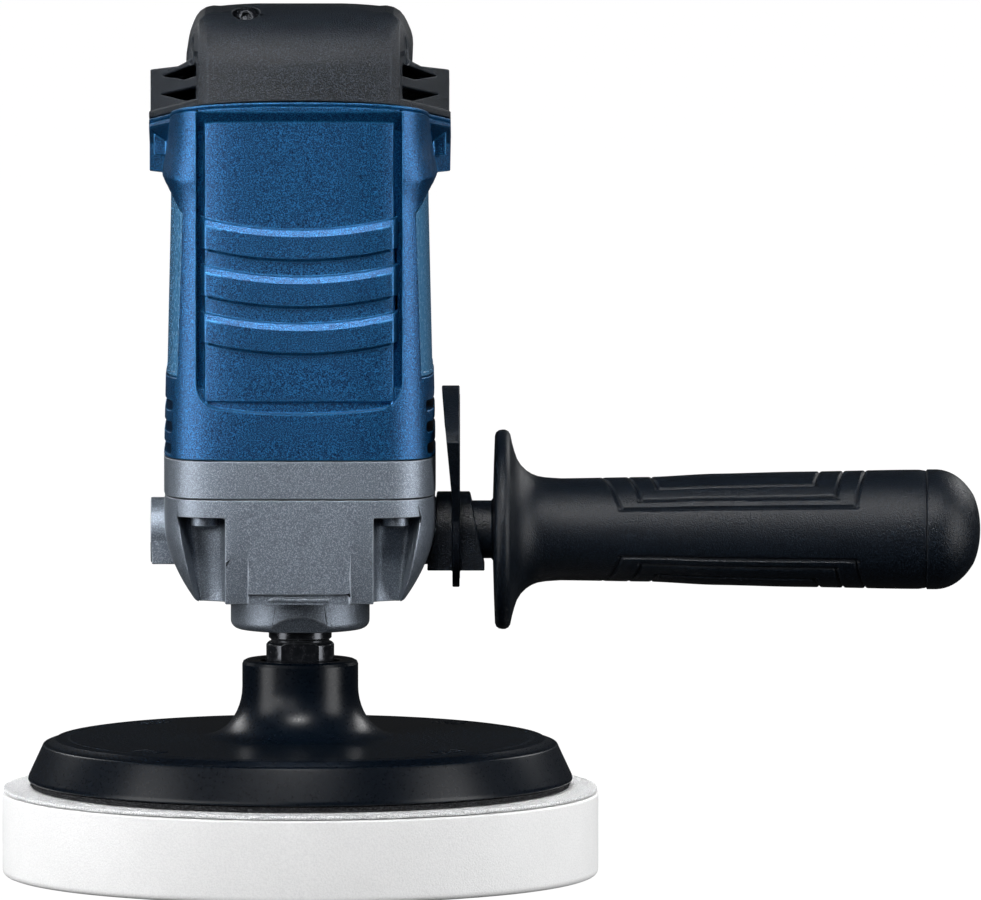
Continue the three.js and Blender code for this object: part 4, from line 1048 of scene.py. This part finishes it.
def add_cover():
    depth, pocket = COVER_SCREW["depth"], COVER_SCREW["pocket"]
    outside = join(dome_block(0), cover_shoulders(0, 0.45), cover_rim())
    inside = join(dome_block(DOME["wall"]), cover_shoulders(DOME["wall"]))
    socket_wall = common(along_cover_screw(rod("y", -20, depth + 6, pocket + 2)),
                         join(dome_block(0), cover_shoulders(0.5)))
    wires = block((-12, 12), (30, 60), (226, 238))
    # A thin wall across the inside, so that nothing shows through the louvres of both sides.
    divider = common(block((-0.8, 0.8), (-38, -13), (230, 262)), dome_block(1.0))
    shell = join(cut(outside, inside), socket_wall, divider)
    openings = [along_cover_screw(rod("y", -20, depth, pocket)),
                along_cover_screw(rod("y", 0, depth + 20, SCREW["hole"]))]
    for side in (-1, 1):
        openings += [louvre(side, outline) for outline in LOUVRES] + [cheek_dish(side)]
    shell = cut(shell, wires, *openings, beside_seam(-150, GAP))
    piece(bevelled(shell, 0.45), "cover_shell", "top_cover", "black_plastic")
    screw = screw_shape("y", (depth - 3.3, depth - 0.3), (depth - 1, depth + 13), 3.6, 1.5, (0, 0))
    add_screw(along_cover_screw(screw), "cover_screw")


# ---- Main handle ----
GRIP_SECTION = soft_square(3.0, 72)


def grip_size(y):
    """Half width, middle height and half height of the main handle."""
    to_grip, to_end = ease((y - GRIP["start"]) / 34), ease((y - 120) / (GRIP["end"] - 120))
    half_x = mixed(mixed(36, 20.5, to_grip), 18.5, to_end)
    middle = mixed(mixed(230, 223, to_grip), 217, to_end)
    return half_x, middle, mixed(mixed(20.5, 20, to_grip), 18, to_end)


def grip_block(inset, start, end, step=4.0):
    def sized(x, y, z):
        half_x, middle, half_z = grip_size(y)
        return (x * (half_x - inset), y, middle + z * (half_z - inset))

    return prism(GRIP_SECTION, "y", evenly(start, end, max(2, round((end - start) / step))), sized)


def add_handle_shells():
    for side, name in ((-1, "left"), (1, "right")):
        shell = cut(grip_block(0, GRIP["start"], GRIP["end"]),
                    grip_block(GRIP["wall"], GRIP["start"] - 1, GRIP["end"] - 3.5))
        pillars = join(*[rod("x", *span(side, GAP, 22), 4.8, at, 40) for at in HANDLE_SCREWS])
        pillars = common(pillars, grip_block(0, GRIP["start"], GRIP["end"]))
        shell = common(join(shell, pillars), block(span(side, GAP, 60), (0, 260), (150, 300)))
        trigger_slot = block((-8.1, 8.1), (81, 126), (180, 212))
        wheel_slot = block((-4.2, 4.2), (WHEEL["y"] - 12, WHEEL["y"] + 12), (230, 260))
        tools = [trigger_slot, wheel_slot, rod("y", 170, 195, 7.3, CORD_AXIS)]
        tools += [rod("x", -14.3, 30, SCREW["hole"], at, 24) for at in HANDLE_SCREWS]
        tools += [rod("x", 13.4, 40, 4.0, at, 40) for at in HANDLE_SCREWS]
        if side < 0:
            tools.append(rod("x", -40, -10, 5.3, BUTTON_AT, 48))
        node = f"handle_shell_{name}"
        piece(bevelled(cut(shell, *tools)), f"{node}_moulded", node, "blue_plastic")
    for at, name in zip(HANDLE_SCREWS, ("front", "rear")):
        add_screw(screw_shape("x", (13.7, 16.7), (-14, 14.5), 3.6, 1.6, at), f"handle_screw_{name}")


def add_soft_grip():
    """A rubber saddle on top of the handle with rows of shallow cross grooves."""
    sleeve = cut(grip_block(-1.8, 100, 178), grip_block(-0.3, 96, 182))
    sleeve = common(sleeve, block((-40, 40), (90, 190), (224, 300)))
    grooves = []
    for i in range(11):
        y = 108.0 + 6.2 * i
        groove = cut(grip_block(-5, y - 0.9, y + 0.9, 1.8), grip_block(-1.0, y - 2, y + 2, 2))
        grooves.append(common(groove, block((-14, 14), (y - 3, y + 3), (228, 300))))
    shape = bevelled(cut(sleeve, *grooves), 0.35, 2)
    piece(shape, "soft_grip_saddle", "handle_soft_grip", "soft_rubber")


def add_trigger():
    """A paddle with finger ridges along its front."""
    side = [(84, 209.5), (84, 205)] + curve((84, 205), (90, 197.5), (100, 197))
    side += curve((100, 197), (112, 195.5), (122, 199)) + [(123.5, 203), (122.5, 210.5), (86, 211)]
    shape = join(prism(side, "x", (-7.7, 7.7)), rod("x", -10.5, 10.5, 1.8, (88, 210), 32))
    ridges = [rod("x", -6.2, 6.2, 0.8, (97 + 4 * i, 195.9 + 0.02 * (i - 2) ** 2), 16) for i in range(6)]
    piece(bevelled(cut(shape, *ridges), 0.7), "trigger_paddle", "trigger", "black_plastic", body="trigger")


def add_button_and_wheel():
    outline = [(0, -23.3), (3.2, -23.5), (4.4, -23.35), (4.9, -22.7), (5, -22), (5, -12), (0, -12)]
    button = turned(outline, "x", BUTTON_AT, 64)
    ring = turned([(2.4, -24), (3.0, -24), (3.0, -23.1), (2.4, -23.1)], "x", BUTTON_AT, 64)
    piece(fine_edged(cut(button, ring), 0.12), "lock_button", "lock_on_button", "black_plastic",
          body="lock_on_button")
    at, radius, notches = (WHEEL["y"], WHEEL["z"]), WHEEL["radius"], 24
    outline = [(0, -3.5), (radius - 1.2, -3.5), (radius - 0.3, -3.1), (radius, -2.4), (radius, 2.4)]
    wheel = turned(outline + [(radius - 0.3, 3.1), (radius - 1.2, 3.5), (0, 3.5)], "x", at, 96)
    tools = [rod("x", -5, 5, 0.85, place, 12) for place in circle(radius + 0.35, at, notches)]
    shape = bevelled(join(cut(wheel, *tools), rod("x", -7, 7, 2, at, 32)), 0.15, 2)
    piece(shape, "speed_wheel", "speed_thumbwheel", "black_plastic", body="speed_thumbwheel")


def add_gland():
    """A ribbed rubber sleeve for the cable."""
    outline = [(4, 181.2), (9.5, 181.2), (9.5, 184.2), (7, 184.2), (7, 188.3), (9, 188.3)]
    for i in range(6):
        y = 189.8 + 3.2 * i
        radius = 9 - (y - 188.3) * 3 / 21.7
        outline += [(radius, y), (radius - 0.9, y + 0.5), (radius - 1.0, y + 1.7), (radius - 0.3, y + 2.1)]
    outline += [(6, 210), (4, 210)]
    piece(turned(outline, "y", CORD_AXIS, 64), "cable_sleeve", "cable_gland", "soft_rubber")


# ---- Side handle and hand guard ----
def grip_radius(x):
    """Radius of the side handle's grip behind its flange."""
    places = ((78.5, 15.4), (105, 15.8), (125, 16.8), (150, 17.4), (184, 18.0), (189, 18.0))
    for (x0, r0), (x1, r1) in zip(places, places[1:]):
        if x <= x1:
            return mixed(r0, r1, ease((x - x0) / (x1 - x0)) * 0.5 + 0.5 * max(0.0, (x - x0) / (x1 - x0)))
    return places[-1][1]


# x of the groove's outer and inner line, above and at its ends, and how far round it reaches in degrees
GROOVES = ((90.8, 170.7, 96.8, 167.3, 62.5), (98.6, 164.0, 102.8, 161.3, 52.0),
           (105.5, 156.8, 107.9, 155.0, 35.0))


def groove_depth(x, turn):
    """Depth of three nested six-sided grooves, which lie above and again below the handle."""
    turn = abs((turn + 90) % 180 - 90)
    nearest = 9.0
    for top_low, top_high, low, high, reach in GROOVES:
        arc = math.radians(turn) * 17.0
        edge = math.radians(reach) * 17.0
        t = min(1.0, turn / reach)
        left, right = mixed(top_low, low, t), mixed(top_high, high, t)
        if arc <= edge + 1.5:
            nearest = min(nearest, max(abs(x - left), arc - edge), max(abs(x - right), arc - edge))
        if left - 1 <= x <= right + 1:
            nearest = min(nearest, abs(arc - edge))
    return 0.65 * (1 - ease((nearest - 0.15) / 0.55))


def grip_profile():
    """The neck, the flange and the curve down to the grip, as (radius, x)."""
    neck = [(8.75, 50.6), (8.75, 57.6), (9.4, 58.1)]
    flange = [(20.0, 58.4), (28.2, 58.7), (29.3, 59.1), (29.9, 59.9), (30.1, 60.9), (30.1, 61.8),
              (29.6, 62.8), (28.6, 63.4), (26.2, 63.9)]
    return neck + flange + [(23.6, 64.6), (21.3, 65.4), (19.4, 66.6), (17.9, 68.1), (16.8, 69.8),
                            (16.1, 71.6), (15.7, 74.0), (15.4, 78.5)]


def add_side_grip():
    """Rings along the grip, closer together where it is grooved, then the cap's seat and the stud's bore."""
    sides, end = 264, 188.6

    def plain(radius, x):
        return [placed("x", *point, x) for point in circle(radius, SIDE_AXIS, sides)]

    def grooved(x):
        ring = []
        for i in range(sides):
            turn = 360 * i / sides
            radius = grip_radius(x) - groove_depth(x, (turn + 90) % 360 - 180)
            ring.append(placed("x", *polar(radius, math.radians(turn), SIDE_AXIS), x))
        return ring

    rings = [plain(radius, x) for radius, x in grip_profile()]
    x = 79.0
    while x < 188.0:
        rings.append(grooved(x))
        x += 0.42 if 89 < x < 172 else 1.6
    seat = ((17.7, end), (9.9, end), (9.9, 182), (STUD_BORE, 182), (STUD_BORE, 50.6))
    rings += [plain(radius, x) for radius, x in seat]
    piece(skinned(rings, closed=True), "side_grip", "aux_handle_grip", "black_plastic", look="grip_plastic",
          smooth=50.0)


def add_end_cap():
    outline = [(0, 182.5), (9.6, 182.5), (9.6, 188.7), (17.6, 188.7), (18.1, 189.1), (18.1, 192)]
    outline += curve((18.1, 192), (17.7, 198.6), (10.5, 203.0), 10)
    outline += curve((10.5, 203.0), (6.0, 205.1), (0, 205.1), 8)
    piece(turned(outline, "x", SIDE_AXIS, 128), "side_grip_cap", "aux_handle_end_cap", "black_plastic",
          look="grip_plastic")


def add_stud():
    outline = [(0, 33.6), (4.2, 33.6)] + thread(5.0, 0.55, 34.4, 1.4, 14)
    outline += [(5.0, 56), (5.0, 99.2), (4.2, 100), (0, 100)]
    piece(turned(outline, "x", SIDE_AXIS, 48), "side_grip_stud", "aux_handle_stud", "steel")


def guard_outline(reach, skirt, spread):
    """An arch above the handle's axis and a short round skirt below it, as (y, z)."""
    top = arc(reach, math.pi / 2 - spread, math.pi / 2 + spread, 40, SIDE_AXIS)
    bottom = arc(skirt, math.pi, FULL_TURN, 24, SIDE_AXIS)
    return top + [(-skirt, SIDE_AXIS_Z + 4)] + bottom + [(skirt, SIDE_AXIS_Z + 4)]


def add_guard():
    reach, skirt, spread = 43.4, 17.4, math.radians(48)
    front, rim_width = 42.7, 2.6
    half = 11.5  # of the hub, which is round above the axis and square below it
    top, floor = SIDE_AXIS_Z + reach, SIDE_AXIS_Z - half
    sheet = prism(guard_outline(reach, skirt, spread), "x", (45.9, 48.0))

    def tapered(x, y, z):
        return (min(46.5, front + (top - z) * 0.103) if x < 45 else x, y, z)

    def slanted(x, y, z):
        down = (SIDE_AXIS_Z - z) / half
        return (x - 1.5 * down if x < 45 else x + 2.25 * down, y, z)

    band = prism(guard_outline(reach, skirt, spread), "x", (front, 48.1), tapered)
    inner = guard_outline(reach - rim_width, skirt - rim_width, spread - 0.06)
    rim = cut(band, prism(inner, "x", (40, 60)))
    outline = arc(half, 0.0, math.pi, 48, SIDE_AXIS) + [(-half, floor), (half, floor)]
    hub = prism(outline, "x", (39.8, 53.45), slanted)
    boss, boss_end = BOSS["radius"] + BOSS["play"], BOSS["end"] + 2 * GAP
    rooms = [rod("x", 30, boss_end, boss, SIDE_AXIS), rod("x", 30, 60, STUD_BORE, SIDE_AXIS)]
    rooms += [block((30, boss_end), (-boss, boss), (SIDE_AXIS_Z - boss, SIDE_AXIS_Z)), case_block(-2 * GAP)]
    rooms.append(rod("x", 50.4, 60, 8.95, SIDE_AXIS))
    shape = bevelled(cut(join(sheet, rim, hub), *rooms))
    piece(shape, "hand_guard_arch", "hand_guard", "black_plastic", look="grip_plastic")


# ---- Pieces that keep their CAD shape ----
def finish_cad_nodes():
    slots = {row["node"]: row["material_slot"] for row in frame["record"]["subparts"]}
    for node, obj in frame["nodes"].items():
        if obj.hide_render:
            continue
        obj.data.materials.clear()
        obj.data.materials.append(materials[slots[node]])


materials = make_materials()
add_camera()
add_floor()
add_lights()
add_world()
add_foam()
add_fleece()
add_hooks()
add_plate()
add_spindle()
add_gear_case()
add_flange()
add_gear_screws()
add_housing()
add_labels()
add_cover()
add_handle_shells()
add_soft_grip()
add_trigger()
add_button_and_wheel()
add_gland()
add_side_grip()
add_end_cap()
add_stud()
add_guard()
finish_cad_nodes()
